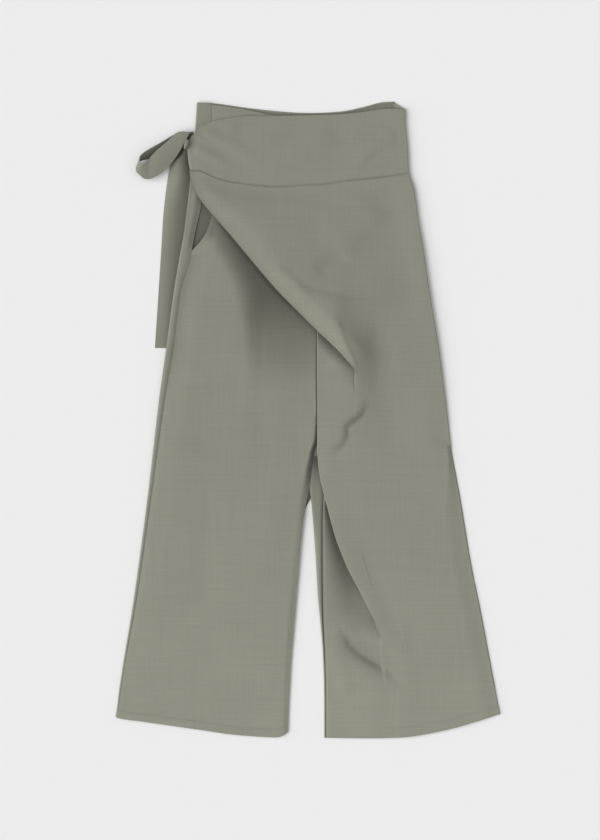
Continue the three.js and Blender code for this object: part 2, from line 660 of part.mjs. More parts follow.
function backRight() {
  const crotchRow = sharedRows.indexOf(crotchY);
  const turnColumns = 4;
  const sections = sharedRows.map((level) => {
    const rowY = (x) => edgeBlend(level, 500, backTopY(x), -500, rightHemY(x));
    const point = (x, z) => ({ x, y: rowY(x), z });
    const outer = (y) => (y < wrapEndY - 1 ? rightEdgeX(y) : rightEdgeX(y) - rightWrap(y) - 2 * seamGap);
    const right = outer(rowY(outer(level)));
    const y = rowY(20);
    const radius = (inseamHeight(y) - floorMid) / 2;
    const above = level > crotchY + 1;
    const edge = above ? centreBackX(level) + seamGap / 2 : rightInnerX(y) + cloth / 2;
    const seam = inseamX(y) - seamGap / 2;
    const floorEnd = above ? edge : edge + radius;
    const across = steps(right, floorEnd, backColumns).map((x) => point(x, floorMid));
    const turned = arc({ x: floorEnd, z: floorMid }, 180, 0, radius, turnColumns).map((p) => point(p.x, p.z));
    const strip = steps(floorEnd, seam, stripColumns).slice(1).map((x) => point(x, inseamHeight(y)));
    return [...across, ...turned, ...strip];
  });
  return clothWall(sections, (i, j) => j < backColumns || i >= crotchRow);
}

function frontLeft() {
  const sections = sharedRows.map((level) => {
    const rowY = (x) => edgeBlend(level, 500, frontTopY(x), -500, leftHemY(x));
    const open = level < 437 && level > 266;
    const seamX = (y) => leftSeamX(y) + seamGap / 2;
    const leftX = (y) => (open ? pocketMouthX(y) : seamX(y));
    const left = leftX(rowY(leftX(level)));
    const right = leftInnerX(rowY(leftInnerX(level))) - cloth / 4;
    const groove = grooveAt(level);
    const rollStart = groove - leftAt.roll(level);
    const rollEnd = Math.min(groove - 0.2, right - 0.8);
    return [...steps(left, rollStart, 12), mix(rollStart, rollEnd, 0.5), rollEnd, right].map((x) => {
      const y = rowY(x);
      return { x, y, z: leftFrontHeight(x, y) };
    });
  });
  return clothWall(sections);
}

// The facing shows in the pocket mouth, lower than the front, and runs on under it
function pocketFacing() {
  const heights = steps(435, 262, 9);
  const underlap = 13;
  const tucked = 4;
  const sections = heights.map((y) => {
    const left = leftSeamX(y) - tucked;
    const right = Math.max(pocketMouthX(y), leftSeamX(y)) + underlap;
    return steps(left, right, 5).map((x) => ({ x, y, z: lowest + 0.2 + tailLift(x, y) }));
  });
  return clothWall(sections);
}

// The right edge turns under in a tight roll that stands a little off the surface
function rightTurn(right, width, top) {
  const radius = Math.min(edgeRadius, (top - floorMid) / 2);
  const bottom = top - 2 * radius;
  const under = steps(0, 1, 2).map((s) => ({ x: mix(right - width, right - radius, s), z: mix(floorMid, bottom, s * s) }));
  return [...under, ...arc({ x: right - radius, z: bottom }, 0, 180, radius, 4).slice(0, 3)];
}

// The right front and the apron are one piece. Each section runs from the seam under the right edge,
// round that edge, across the front to the apron's edge, through its pleat, across the inner leg to the
// leg's own pleat, and through it to the inseam.
function frontRightWrap() {
  const upper = [391, 378, 362, 344, 324, 302, 280, 258, 236, 214, 192, 172];
  const tip = [152, 139, 125, 111, 99, 90, 82, 74, 65, 50];
  const knee = [26, 0, wrapEndY, crotchY, -81, -104, -130, -160, -190, -225, -244, -262, -282];
  const lower = [-300, -314, -327, -341, -356, -376, -418, -460, -500];
  const heights = [...upper, ...tip, ...knee, ...lower];
  const wrapColumns = 6;
  const apronColumns = 22;
  const pleatColumns = 2 * bendChords + 1;
  const innerColumns = 5;
  const underColumns = 6;
  const apronEnd = wrapColumns + apronColumns;
  const innerEnd = apronEnd + pleatColumns + innerColumns;
  const length = { apron: polyline(apronPleat, "y", "length"), leg: polyline(legPleat, "y", "length") };
  const turn = { apron: polyline(apronPleat, "y", "turn"), leg: polyline(legPleat, "y", "turn") };
  const legTop = curve(legPleat, "y", "top");
  const sections = heights.map((level) => {
    const rowY = (x) => edgeBlend(level, 391, yokeSeamY(x) - seamGap, -500, rightHemY(x));
    const point = (x, z) => ({ x, y: rowY(x), z });
    const below = level < wrapEndY;
    const right = rightEdgeX(rowY(rightEdgeX(level))) - (below ? 1.1 : 0.5);
    const legHigh = rightAt.leg(level);
    const lift = below ? 0 : rightAt.lift(level);
    const top = below ? lowest : legHigh + lift;
    const wrap = rightTurn(right, rightWrap(rowY(right)) - cloth / 2, top).map((p) => ({ x: p.x, y: rowY(right), z: p.z }));
    const startX = below ? right : right - Math.min(edgeRadius, (top - floorMid) / 2);
    const edge = apronEdgeX(rowY(apronEdgeX(level))) + (level > 60 ? cloth / 2 : 0);
    const endX = edge + turnRadius;
    const corners = halved([startX, ...yokeSeam.slice(1, -1).map((row) => row.x), endX]);
    const toSeam = ease(level, 250, 391);
    const foldsAt = (x) => foldHeight(apronFolds, x, rowY(x)) + foldHeight(legFolds, x, rowY(x));
    const apron = steps(0, 1, apronColumns).map((s, k) => {
      const x = mix(mix(endX, startX, (1 - s) ** 1.3), corners[k], toSeam);
      const y = rowY(x);
      const fromRight = startX - x;
      const share = THREE.MathUtils.clamp((x - edge - rightAt.near(y)) / (rightAt.far(y) - rightAt.near(y)), 0, 1);
      const rise = 1 - mix(share, ease(share, 0, 1), 0.6);
      const leg = mix(top, legHigh + lift, ease(fromRight, 0, below ? 30 : 6)) - lift * ease(fromRight, 3, 42);
      const beside = rightAt.band(level) * (1 - ease(x - edge, -4, bandWidth));
      const high = mix(leg, rightAt.edge(level) + rightAt.band(level), rise) - beside;
      const z = high + foldsAt(x) * ease(fromRight, 0, 25);
      return point(x, mix(z, seamHeight(x) + lift * (1 - ease(fromRight, 3, 42)), ease(y - yokeSeamY(x), -34, -1)));
    });
    const legHeight = legTop(level);
    const apronPleatPoints = pleat(apron[apronColumns], length.apron(level), turn.apron(level), legHeight);
    const afterApron = apronPleatPoints[pleatColumns - 1];
    const legEdge = innerPleatX(level) + cloth / 2;
    const lower = 1 - ease(level, 60, 90);
    const opened = ease(-level, 285, 325);
    const innerFolds = (x, share) => foldsAt(x) * lower * mix(Math.min(1, 4 * (1 - share)), 1, opened);
    const inner = steps(0, 1, innerColumns).slice(1).map((share) => {
      const x = mix(afterApron.x, legEdge + turnRadius, share);
      const drop = ease(share, 0, mix(1, 0.5, ease(level, 60, 130)));
      return point(x, mix(afterApron.z - foldsAt(endX) * lower, legHeight, drop) + innerFolds(x, share));
    });
    const innerLast = inner[innerColumns - 1];
    const legPleatPoints = pleat(innerLast, length.leg(level), turn.leg(level), lowest + 0.05);
    const afterLeg = legPleatPoints[pleatColumns - 1];
    const seam = inseamX(level) + seamGap / 2;
    const under = steps(0, 1, underColumns).slice(1).map((share) => {
      const x = mix(afterLeg.x, seam, share);
      const shown = THREE.MathUtils.clamp((x - seam) / Math.max(legEdge - seam, 8), 0, 1);
      const climb = 1 - mix(shown, ease(shown, 0, 1), 0.5);
      const fallen = mix(afterLeg.z - innerFolds(innerLast.x, 1) * opened, lowest + 0.1, ease(share, 0, 0.5));
      const folds = foldsAt(x) * opened * ease(x - seam, 0, 8);
      const tucked = mix(fallen, inseamHeight(level), climb);
      const spread = mix(afterLeg.z - innerFolds(innerLast.x, 1), inseamHeight(level), ease(share, 0, 1));
      return point(x, Math.max(mix(tucked, spread, opened) + folds, lowest));
    });
    const pleated = (points) => points.map((p) => point(p.x, p.z));
    return [...wrap, ...apron, ...pleated(apronPleatPoints), ...inner, ...pleated(legPleatPoints), ...under];
  });
  const wrapEndRow = heights.indexOf(wrapEndY);
  const tipRow = heights.indexOf(152);
  const crotchRow = heights.indexOf(crotchY);
  const hemReturn = bendChords + 1;
  const present = (i, j) => {
    if (j < wrapColumns) return i < wrapEndRow;
    if (j < apronEnd + hemReturn) return true;
    if (j < innerEnd) return i >= tipRow;
    if (j < innerEnd + hemReturn) return i >= tipRow;
    return i >= crotchRow;
  };
  return clothWall(sections, present);
}

// The yoke folds round the right edge and comes down over the left edge at the tie
function wrapYoke() {
  const sections = steps(0, 1, 10).map((down) => {
    const rowY = (x) => mix(yokeTopY(x), yokeSeamY(x), down);
    const right = rightEdgeX(rowY(150)) - cloth / 2;
    const lift = mix(rightAt.lift(500), rightAt.lift(391), down);
    const top = mix(5.2, rightAt.leg(391), down) + lift;
    const width = rightWrap(rowY(150)) - cloth / 2;
    const wrap = rightTurn(right, width, top).map((p, k) => {
      const lean = k < 3 ? 13 * (1 - down) * ((right - p.x) / width) : 0;
      return { x: p.x, y: rowY(right) + lean, z: p.z };
    });
    const startX = right - Math.min(edgeRadius, (top - floorMid) / 2);
    const left = yokeLeftX(down) + cloth / 2;
    const corners = [startX, ...yokeSeam.slice(1, -1).map((row) => row.x), left + yokeRadius];
    const across = halved(corners).map((x) => {
      const y = rowY(x);
      const toLeft = 1 - ease(x, -150, 10);
      const bunch = 1.2 * (1 - ease(x, left, left + 34));
      const flat = mix(mix(5.2, 8.0, toLeft), seamHeight(x), ease(down, 0.1, 1));
      const belly = 2.6 * Math.exp(-(((x + 60) / 75) ** 2)) * Math.sin(Math.PI * down ** 1.2);
      const edges = ease(right - x, 4, 24) * mix(0.35, 1, ease(down, 0, 0.14)) * mix(0.3, 1, ease(1 - down, 0, 0.14));
      const lifted = lift * (1 - ease(startX - x, 3, 42));
      return { x, y, z: flat + belly + foldHeight(yokeFolds, x, y) * edges + bunch + lifted };
    });
    const last = across[across.length - 1];
    const turned = arc(last, 180, 270, yokeRadius, 3).map((p) => ({ x: p.x, y: rowY(p.x), z: p.z }));
    const foot = turned[turned.length - 1];
    return [...wrap, ...across, ...turned, { x: foot.x, y: foot.y, z: foot.z - 1.2 }];
  });
  return clothWall(sections);
}

// A strap of cloth through stations, each with its two edges
function strap(stations, lengthwiseCount, widthCount) {
  const rail = (side) =>
    new THREE.CatmullRomCurve3(
      stations.map((row) => new THREE.Vector3(row[side + "X"], row[side + "Y"], row[side + "Z"])),
      false,
      "centripetal",
    );
  const near = rail("near");
  const far = rail("far");
  const places = steps(0, 1, lengthwiseCount);
  const grid = places.map((t) => {
    const a = near.getPoint(t);
    const b = far.getPoint(t);
    return steps(0, 1, widthCount).map((s) => a.clone().lerp(b, s));
  });
  const positions = [];
  grid.forEach((row, i) => {
    row.forEach((point, j) => {
      const alongStrap = grid[Math.min(i + 1, lengthwiseCount)][j].clone().sub(grid[Math.max(i - 1, 0)][j]);
      const acrossStrap = row[Math.min(j + 1, widthCount)].clone().sub(row[Math.max(j - 1, 0)]);
      const out = alongStrap.cross(acrossStrap).normalize().multiplyScalar(cloth / 2);
      positions.push(...point.clone().add(out).toArray(), ...point.clone().sub(out).toArray());
    });
  });
  const columns = widthCount + 1;
  const upper = (i, j) => 2 * (i * columns + j);
  const lower = (i, j) => upper(i, j) + 1;
  const faces = [];
  const side = (i, j, i2, j2) => {
    faces.push(upper(i, j), lower(i, j), lower(i2, j2), upper(i, j), lower(i2, j2), upper(i2, j2));
  };
  for (let i = 0; i < lengthwiseCount; i += 1) {
    for (let j = 0; j < widthCount; j += 1) {
      faces.push(upper(i, j), upper(i + 1, j), upper(i + 1, j + 1));
      faces.push(upper(i, j), upper(i + 1, j + 1), upper(i, j + 1));
      faces.push(lower(i, j), lower(i + 1, j + 1), lower(i + 1, j));
      faces.push(lower(i, j), lower(i, j + 1), lower(i + 1, j + 1));
      if (i === 0) side(i, j + 1, i, j);
      if (i === lengthwiseCount - 1) side(i + 1, j, i + 1, j + 1);
      if (j === 0) side(i, j, i + 1, j);
      if (j === widthCount - 1) side(i + 1, j + 1, i, j + 1);
    }
  }
  return solidGeometry(positions, faces);
}

// The loop of the half bow: out from the knot along the front, round its end, and back behind
const loopStations = [
  { nearX: -189, nearY: 449.8, nearZ: 15.5, farX: -195.9, farY: 429, farZ: 14.5 },
  { nearX: -197, nearY: 451, nearZ: 17, farX: -200, farY: 421, farZ: 14 },
  { nearX: -206.5, nearY: 448, nearZ: 17, farX: -206.5, farY: 411, farZ: 13 },
  { nearX: -221, nearY: 434.5, nearZ: 17, farX: -216.5, farY: 398, farZ: 12.5 },
  { nearX: -234.5, nearY: 423, nearZ: 17, farX: -229.5, farY: 386.5, farZ: 12 },
  { nearX: -245, nearY: 412.5, nearZ: 17, farX: -246, farY: 377.6, farZ: 11 },
  { nearX: -252, nearY: 403.5, nearZ: 16.5, farX: -256, farY: 378, farZ: 10 },
  { nearX: -257, nearY: 399.5, nearZ: 15.5, farX: -263, farY: 384, farZ: 8.5 },
  { nearX: -261, nearY: 401.5, nearZ: 14.5, farX: -269, farY: 391, farZ: 7 },
  { nearX: -263, nearY: 407, nearZ: 14, farX: -266.5, farY: 402, farZ: 5 },
  { nearX: -261.5, nearY: 413.8, nearZ: 14, farX: -259, farY: 407.5, farZ: 4 },
  { nearX: -249.5, nearY: 422.8, nearZ: 14.5, farX: -244.5, farY: 410, farZ: 3.5 },
  { nearX: -229.5, nearY: 434, nearZ: 14.5, farX: -224, farY: 422, farZ: 3.5 },
  { nearX: -208, nearY: 447, nearZ: 13, farX: -206, farY: 436, farZ: 4 },
  { nearX: -196, nearY: 450.5, nearZ: 12, farX: -196, farY: 443, farZ: 5 },
  { nearX: -184, nearY: 451, nearZ: 11, farX: -185, farY: 444.8, farZ: 8 },
  { nearX: -178.5, nearY: 451.5, nearZ: 8, farX: -179.5, farY: 447.2, farZ: 5.8 },
];

function tieTail() {
  const heights = [...steps(440, 314, 12), ...steps(280, 112.5, 5)];
  const at = columnCurves(tailSections);
  const sections = heights.map((y) =>
    steps(0, 1, 6).map((s) => ({
      x: mix(at.left(y), tailRightX(y), s),
      y,
      z: mix(at.leftHeight(y), at.rightHeight(y), s ** 1.5) + at.crown(y) * Math.sin(Math.PI * s ** 0.8) * (1 - 0.3 * s),
    })),
  );
  return clothWall(sections);
}

// The knot is a small bundle of cloth, longer than it is wide
function tieKnot() {
  const profile = [
    { along: -7.4, radius: 0 },
    { along: -7.1, radius: 2.1 },
    { along: -6, radius: 3.4 },
    { along: -3.5, radius: 4.3 },
    { along: 0, radius: 4.6 },
    { along: 3.5, radius: 4.3 },
    { along: 6, radius: 3.4 },
    { along: 7.1, radius: 2.1 },
    { along: 7.4, radius: 0 },
  ];
  const outline = profile.map((row) => new THREE.Vector2(row.radius, row.along));
  const geometry = new THREE.LatheGeometry(outline, 16);
  geometry.scale(0.7, 1, 1);
  return geometry;
}

const olive = new THREE.MeshStandardMaterial({ color: 0x8a8a7c, roughness: 0.9, metalness: 0 });
const shade = new THREE.MeshStandardMaterial({ color: 0x7d7d70, roughness: 0.9, metalness: 0 });

function piece(name, geometry, material = olive) {
  const mesh = new THREE.Mesh(geometry, material);
  mesh.name = name;
  return mesh;
}

const trousers = new THREE.Group();
trousers.add(piece("back_left", backLeft()));
trousers.add(piece("back_right", backRight()));
trousers.add(piece("front_left", frontLeft()));
trousers.add(piece("pocket_facing_left", pocketFacing(), shade));
trousers.add(piece("front_right_wrap", frontRightWrap()));
trousers.add(piece("wrap_yoke", wrapYoke()));
trousers.add(piece("tie_loop", strap(loopStations, 30, 4)));
trousers.add(piece("tie_tail", tieTail()));

const knot = piece("tie_knot", tieKnot());
knot.position.set(-190.8, 431.5, 13.9);
knot.rotation.z = THREE.MathUtils.degToRad(-14);
trousers.add(knot);

export default trousers;
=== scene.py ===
# Wide-leg wrap trousers laid flat with the front up: cloth panels, tie, stitches, floor, light and camera
import math

import bpy
import numpy as np
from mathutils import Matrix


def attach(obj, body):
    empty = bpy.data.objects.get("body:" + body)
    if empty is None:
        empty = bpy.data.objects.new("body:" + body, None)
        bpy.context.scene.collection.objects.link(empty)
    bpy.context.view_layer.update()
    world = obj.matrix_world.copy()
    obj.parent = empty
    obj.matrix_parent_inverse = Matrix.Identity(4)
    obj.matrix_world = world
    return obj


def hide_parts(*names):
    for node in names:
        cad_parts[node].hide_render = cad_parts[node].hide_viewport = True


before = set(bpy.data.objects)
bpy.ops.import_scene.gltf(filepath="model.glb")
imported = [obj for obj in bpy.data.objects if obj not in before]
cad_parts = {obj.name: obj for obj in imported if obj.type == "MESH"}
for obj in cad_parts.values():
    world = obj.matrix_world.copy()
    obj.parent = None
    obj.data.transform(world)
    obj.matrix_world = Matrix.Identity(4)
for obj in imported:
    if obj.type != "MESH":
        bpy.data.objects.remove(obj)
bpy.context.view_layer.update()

print("trousers: CAD frame loaded")

# Every table below is in millimetres: x to the right, y towards the waist, z up from the surface
metre = 0.001
cloth = {
    "wall": 0.9,  # thickness of one layer as it shows
    "layer": 1.3,  # middle of one layer to the middle of the next
    "floorMid": 0.5,  # middle of a layer that rests on the surface
    "clear": 0.1,  # spare room between one layer and the next
    "seam": 0.22,  # half of the space left at a seam
    "seamDip": 1.7,  # how far the cloth rolls down into a seam
    "seamRoll": 1.5,  # and how far from the seam that starts
    "mitre": 0.7,  # least cosine that a wall's corner is spread by
    "sharpAngle": 40,  # edges sharper than this look sharp
    "crotch": -58.0,
    "wrapEnd": -40.0,  # below this the right side seam lies on the edge
}
turnRadius = cloth["layer"] / 2
secondMid = cloth["floorMid"] + cloth["layer"] + cloth["clear"]  # middle of a layer that lies on another

# Rows of the panels are numbered by their level, from the waist to the hem
waistLevel, yokeLevel, hemLevel = 500, 391, -500
edgeReach = 110  # rows this near to an edge bend towards it


# Values between the points of a table, on a smooth curve or on straight lines
def curve(*points):
    t, v = np.array(sorted(points), float).T
    last = len(t) - 1
    spot = np.arange(last + 1)
    before, after = np.maximum(spot - 1, 0), np.minimum(spot + 1, last)
    slope = (v[after] - v[before]) / (t[after] - t[before])

    def at(place):
        place = np.clip(place, t[0], t[-1])
        i = np.clip(np.searchsorted(t, place, side="right") - 1, 0, last - 1)
        span = t[i + 1] - t[i]
        u = (place - t[i]) / span
        ends = v[i] * (1 - u) ** 2 * (1 + 2 * u) + v[i + 1] * u * u * (3 - 2 * u)
        return ends + span * (slope[i] * u * (1 - u) ** 2 - slope[i + 1] * u * u * (1 - u))

    return at


def straight(*points):
    t, v = np.array(sorted(points), float).T
    return lambda place: np.interp(place, t, v)


def ease(value, start, end):
    share = np.clip((value - start) / (end - start), 0, 1)
    return share * share * (3 - 2 * share)


def mix(a, b, share):
    return a + (b - a) * share


# The lesser of two values, with a soft change from one to the other
def softLess(a, b, width):
    return (a + b - np.sqrt((a - b) ** 2 + width**2)) / 2


# Outlines seen from above, as (y, x) down the garment
leftEdgeX = curve((498, -174), (465, -176), (408, -181), (340, -188.5), (292, -194.5), (250, -202), (202, -210),
                  (113, -222), (31, -233.5), (-126, -252), (-284, -273.5), (-378, -289), (-470, -303))
leftSeamX = curve((498, -150), (465, -151), (408, -158), (340, -166.5), (292, -177), (250, -184.5), (202, -199),
                  (113, -210.5), (31, -224), (-126, -246), (-284, -268.5), (-378, -286), (-470, -300))
leftInnerX = curve((498, 0), (300, 24), (20, 34), (0, 33), (-22, 26), (-45, 12), (-62, 9), (-81, 6), (-109, 2.5),
                   (-144, -4.2), (-189, -9.8), (-250, -14.8), (-315, -20), (-378, -25.3), (-441, -28.8), (-498, -31))
pocketMouthX = curve((437, -112), (400, -118), (377, -127), (345, -140), (322, -149), (303, -155.5), (290, -161),
                     (278, -169), (266, -181))
centreBackX = curve((498, -30), (200, -8), (0, 7), (-43, 8.6), (-58, 7.6), (-81, 5), (-109, 2.5))
rightEdgeX = curve((500, 154), (465, 154), (424, 157.5), (388, 159.5), (361, 167.5), (314, 174), (267, 182),
                   (199, 192), (120, 205), (31, 217), (-42, 225.5), (-126, 240.5), (-229, 257.5), (-295, 271),
                   (-380, 287), (-465, 303))
rightInnerX = curve((-58, 9.4), (-109, 4.4), (-139, 6.8), (-186, 10.6), (-236, 13.8), (-276, 16), (-313, 19.5),
                    (-361, 23.6), (-422, 25.8), (-500, 26))
inseamX = curve((-58, 27), (-109, 26), (-139, 23.5), (-186, 23), (-236, 23), (-276, 23.5), (-313, 23.8), (-361, 26),
                (-422, 28), (-500, 28.3))
apronEdgeX = curve((391, -186), (372, -182.5), (359, -177), (343, -167), (321, -149), (290, -122), (260, -97),
                   (229, -71), (202, -47.5), (166, -12), (139, 15), (122, 33), (103, 52), (91, 62.5), (82, 70.5),
                   (70, 75.5), (30, 76), (-60, 74), (-180, 92), (-266, 124), (-340, 150), (-500, 160))
legFoldX = curve((392, 15), (-40, 15), (-74, 16.8), (-101, 21.5), (-134, 30), (-158, 36), (-192, 46), (-236, 64),
                 (-266, 80), (-307, 100), (-340, 114), (-400, 122), (-500, 126))

# Heights of the cloth along the left side seam and the right inseam, as (y, z)
sideSeamZ = curve((500, 4.4), (440, 4.8), (391, 5.4), (340, 6.4), (300, 7.4), (250, 8.2), (150, 8.0), (60, 7.0),
                  (-50, 5.8), (-150, 5.0), (-300, 4.0), (-500, 3.0))
inseamZ = curve((-58, 2.4), (-110, 4.2), (-160, 5.6), (-250, 6.0), (-300, 5.4), (-330, 4.0), (-361, 2.8),
                (-380, 2.4), (-400, 2.3), (-500, 2.1))

# How far the left back reaches past the left front below the crotch, and how high the front's inner edge lies there
crotchReach = curve((-100, 0), (-112, 1.4), (-124, 5.4), (-132, 2.5), (-142, 0), (-160, 0))
leftInnerZ = curve((-90, 1.9), (-120, 2.6), (-150, 4.4), (-200, 4.4), (-280, 3.0), (-400, 2.4), (-500, 1.9))

# Edges that run across, as (x, y)
backTopY = curve((-174, 498), (-147, 497), (-90, 489), (-12, 482), (51, 484), (87, 491), (114, 498), (139, 500))
frontTopY = curve((-150, 494.5), (-116, 490), (-81, 483.5), (-63, 479.5), (-30, 474), (15, 470))
yokeTopY = curve((-190, 430), (-187, 437), (-184, 441.3), (-180, 447), (-176, 451), (-171, 458), (-157, 465),
                 (-140, 470), (-104, 475.4), (-63, 476.6), (-12, 477.4), (46, 479.4), (80, 482), (107, 486),
                 (124, 488), (154, 487))
yokeSeamY = curve((160, 387), (128, 382.5), (96, 378.5), (65, 375.5), (31, 370.5), (-6, 368.5), (-53, 366),
                  (-92, 370), (-124, 374.5), (-148.5, 382), (-166, 390), (-186, 391))
leftHemY = curve((-303, -462.5), (-299, -468.5), (-262, -474), (-164, -488), (-119, -494.5), (-65, -498.5),
                 (-43, -498), (-31, -491))
rightHemY = curve((26, -500), (104, -500.5), (156, -498.5), (196, -492), (236, -483), (303, -462.5))


# A fold is a ridge, or a trough where its height is negative, along a path seen from above.
# Its widths are those to the left and to the right of someone who walks along the path.
def fold(height, widths, *path, fades=(0.25, 0.25)):
    corners = np.array(path, float)
    for _ in range(2):
        near, far = corners[:-1] * 0.75 + corners[1:] * 0.25, corners[:-1] * 0.25 + corners[1:] * 0.75
        middle = np.stack([near, far], axis=1).reshape(-1, 2)
        corners = np.concatenate([corners[:1], middle, corners[-1:]])
    return height, widths, corners, fades


def foldHeight(folds, x, y):
    x, y = np.broadcast_arrays(x, y)
    total = np.zeros(x.shape)
    for height, widths, corners, fades in folds:
        runs = np.diff(corners, axis=0)
        lengths = np.hypot(*runs.T)
        walked = np.concatenate([[0], np.cumsum(lengths)])
        nearest, side, along = np.full(x.shape, np.inf), np.zeros(x.shape), np.zeros(x.shape)
        for start, run, length, done in zip(corners[:-1], runs, lengths, walked[:-1]):
            if length == 0:
                continue
            share = np.clip(((x - start[0]) * run[0] + (y - start[1]) * run[1]) / length**2, 0, 1)
            offX, offY = x - start[0] - share * run[0], y - start[1] - share * run[1]
            distance = np.hypot(offX, offY)
            closer = distance < nearest
            nearest = np.where(closer, distance, nearest)
            side = np.where(closer, run[0] * offY - run[1] * offX, side)
            along = np.where(closer, done + share * length, along)
        along = along / walked[-1]
        width = np.where(side > 0, widths[0], widths[1])
        ends = ease(along, -0.001, fades[0] + 0.001) * (1 - ease(along, 0.999 - fades[1], 1.001))
        total = total + height * ends * np.exp(-((nearest / width) ** 2))
    return total


# Faint unevenness of cloth that nobody has pressed since it was laid down
def wander(x, y, height, wave, seed):
    draw = np.random.default_rng(seed)
    total = np.zeros(np.broadcast(x, y).shape)
    for _ in range(7):
        heading, phase, size = draw.uniform(0, math.pi), draw.uniform(0, 2 * math.pi), draw.uniform(0.6, 1.6)
        total = total + np.sin(2 * math.pi * (x * math.cos(heading) + y * math.sin(heading)) / (wave * size) + phase)
    return total * height / math.sqrt(7)


# Rows lie level in the middle of the garment and follow its top and bottom edges near the ends
def edgeBlend(level, topLevel, topY, bottomY):
    toTop = ease(level, topLevel - edgeReach, topLevel)
    toBottom = 1 - ease(level, hemLevel, hemLevel + edgeReach)
    return level + toTop * (topY - topLevel) + toBottom * (bottomY - hemLevel)


# Levels from the top to the hem, with closer ones where they are asked for
closeSteps = np.array([-2.4, -1.2, -0.5, 0, 0.5, 1.2, 2.4])
leastStep = 0.35


def rowLevels(top, step, *closer):
    plain = np.linspace(top, hemLevel, int(round((top - hemLevel) / step)) + 1)
    extra = [level for spot in closer for level in spot + closeSteps]
    levels = np.unique(np.round(np.concatenate([plain, extra]), 2))
    levels = levels[(levels <= top) & (levels >= hemLevel)]
    keep = np.concatenate([[True], np.diff(levels) > leastStep])
    return levels[keep][::-1]


# Shares from 0 to 1 that lie closer together at both ends
def shares(count, tight=0.6):
    s = np.linspace(0, 1, count + 1)
    return s - tight * np.sin(2 * math.pi * s) / (2 * math.pi)


def between(start, end, parts):
    return start[:, None] + (end - start)[:, None] * parts[None, :]


# Part of a circle in a section, row by row: the heading turns from one angle to another, in degrees
def bend(x, z, fromHeading, toHeading, chord, count):
    turn = np.radians(toHeading - fromHeading) / count
    heading = np.radians(fromHeading) + turn * 0.5
    points = []
    for _ in range(count):
        x, z = x + chord * np.cos(heading), z + chord * np.sin(heading)
        heading = heading + turn
        points.append((x, z))
    return points


def chordOf(radius, angle, count):
    return 2 * radius * np.sin(np.radians(angle) / count / 2)


# A pleat: the cloth heads left, turns under, runs back, and turns to head left again
pleatChords = 7
backSteps = 5


def pleat(x, z, length, turnAngle, lowest):
    chord = chordOf(turnRadius, 180, pleatChords)
    under = bend(x, z, 180 + 0 * x, 180 + turnAngle, chord, pleatChords)
    turnedX, turnedZ = under[-1]
    heading = np.radians(180 + turnAngle)
    room = z - lowest - 2 * (z - turnedZ)
    steep = -np.sin(heading)
    run = np.where(steep > 0.05, np.clip(room / np.maximum(steep, 0.05), 0.3, length), length)
    back = [(turnedX + run * k / backSteps * np.cos(heading), turnedZ + run * k / backSteps * np.sin(heading))
            for k in range(1, backSteps + 1)]
    out = bend(back[-1][0], back[-1][1], 180 + turnAngle, 180 + 0 * x, chord, pleatChords)
    return under + back + out


def addObject(name, data):
    made = bpy.data.objects.new(name, data)
    bpy.context.scene.collection.objects.link(made)
    return made


# Corners of a grid of cloth become a closed wall: two faces and every open edge
def wallPiece(name, middle, out, grain, material, cells=None, hollow=None):
    rows, columns = middle.shape[:2]
    cells = np.ones((rows - 1, columns - 1), bool) if cells is None else cells
    places = np.concatenate([(middle + out).reshape(-1, 3), (middle - out).reshape(-1, 3)]) * metre
    upper = np.arange(rows * columns).reshape(rows, columns)
    lower = upper + rows * columns
    early, late = slice(None, -1), slice(1, None)
    a, b, c, d = (early, early), (late, early), (late, late), (early, late)
    quads = [
        np.stack([upper[a], upper[b], upper[c], upper[d]], -1)[cells],
        np.stack([lower[d], lower[c], lower[b], lower[a]], -1)[cells],
    ]
    edged = np.pad(cells, 1)
    borders = [
        (edged[:-2, 1:-1], a, d),
        (edged[2:, 1:-1], c, b),
        (edged[1:-1, :-2], b, a),
        (edged[1:-1, 2:], d, c),
    ]
    for neighbour, start, end in borders:
        bare = cells & ~neighbour
        quads.append(np.stack([upper[start], upper[end], lower[end], lower[start]], -1)[bare])
    faces = np.concatenate(quads)
    corner = places[faces]
    crosses = [np.cross(corner[:, i], corner[:, i + 1]) for i in (1, 2)]
    if sum(np.einsum("ij,ij->i", corner[:, 0], cross).sum() for cross in crosses) < 0:
        faces = faces[:, ::-1]
    used, faces = np.unique(faces, return_inverse=True)
    faces = faces.reshape(-1, 4)
    mesh = bpy.data.meshes.new(name)
    mesh.from_pydata(places[used].tolist(), [], faces.tolist())
    onBothSides = lambda values: np.concatenate([values, values])[used]
    threads = onBothSides(grain.reshape(-1, 2)) * metre
    layer = mesh.uv_layers.new(name="grain")
    layer.data.foreach_set("uv", threads[faces.reshape(-1)].astype(np.float32).reshape(-1))
    # The painted shade mask goes onto the points as an attribute
    if hollow is not None:
        shade = np.clip(onBothSides(hollow.reshape(-1)), 0, 1).astype(np.float32)
        mesh.attributes.new("hollow", "FLOAT", "POINT").data.foreach_set("value", shade)
    mesh.shade_smooth()
    mesh.set_sharp_from_angle(angle=math.radians(cloth["sharpAngle"]))
    mesh.materials.append(material)
    return addObject(name, mesh)


# The wall of a garment panel stands square to the cloth in each section across the garment
def sectionOut(middle, wall):
    step = np.diff(middle[..., [0, 2]], axis=1)
    length = np.maximum(np.hypot(step[..., 0], step[..., 1]), 1e-6)
    heading = step / length[..., None]
    both = np.concatenate([heading[:, :1], heading], axis=1) + np.concatenate([heading, heading[:, -1:]], axis=1)
    size = np.maximum(np.hypot(both[..., 0], both[..., 1]), 1e-6)
    half = wall / 2 / np.maximum(size / 2, cloth["mitre"]) / size
    return np.stack([both[..., 1] * half, 0 * half, -both[..., 0] * half], -1)


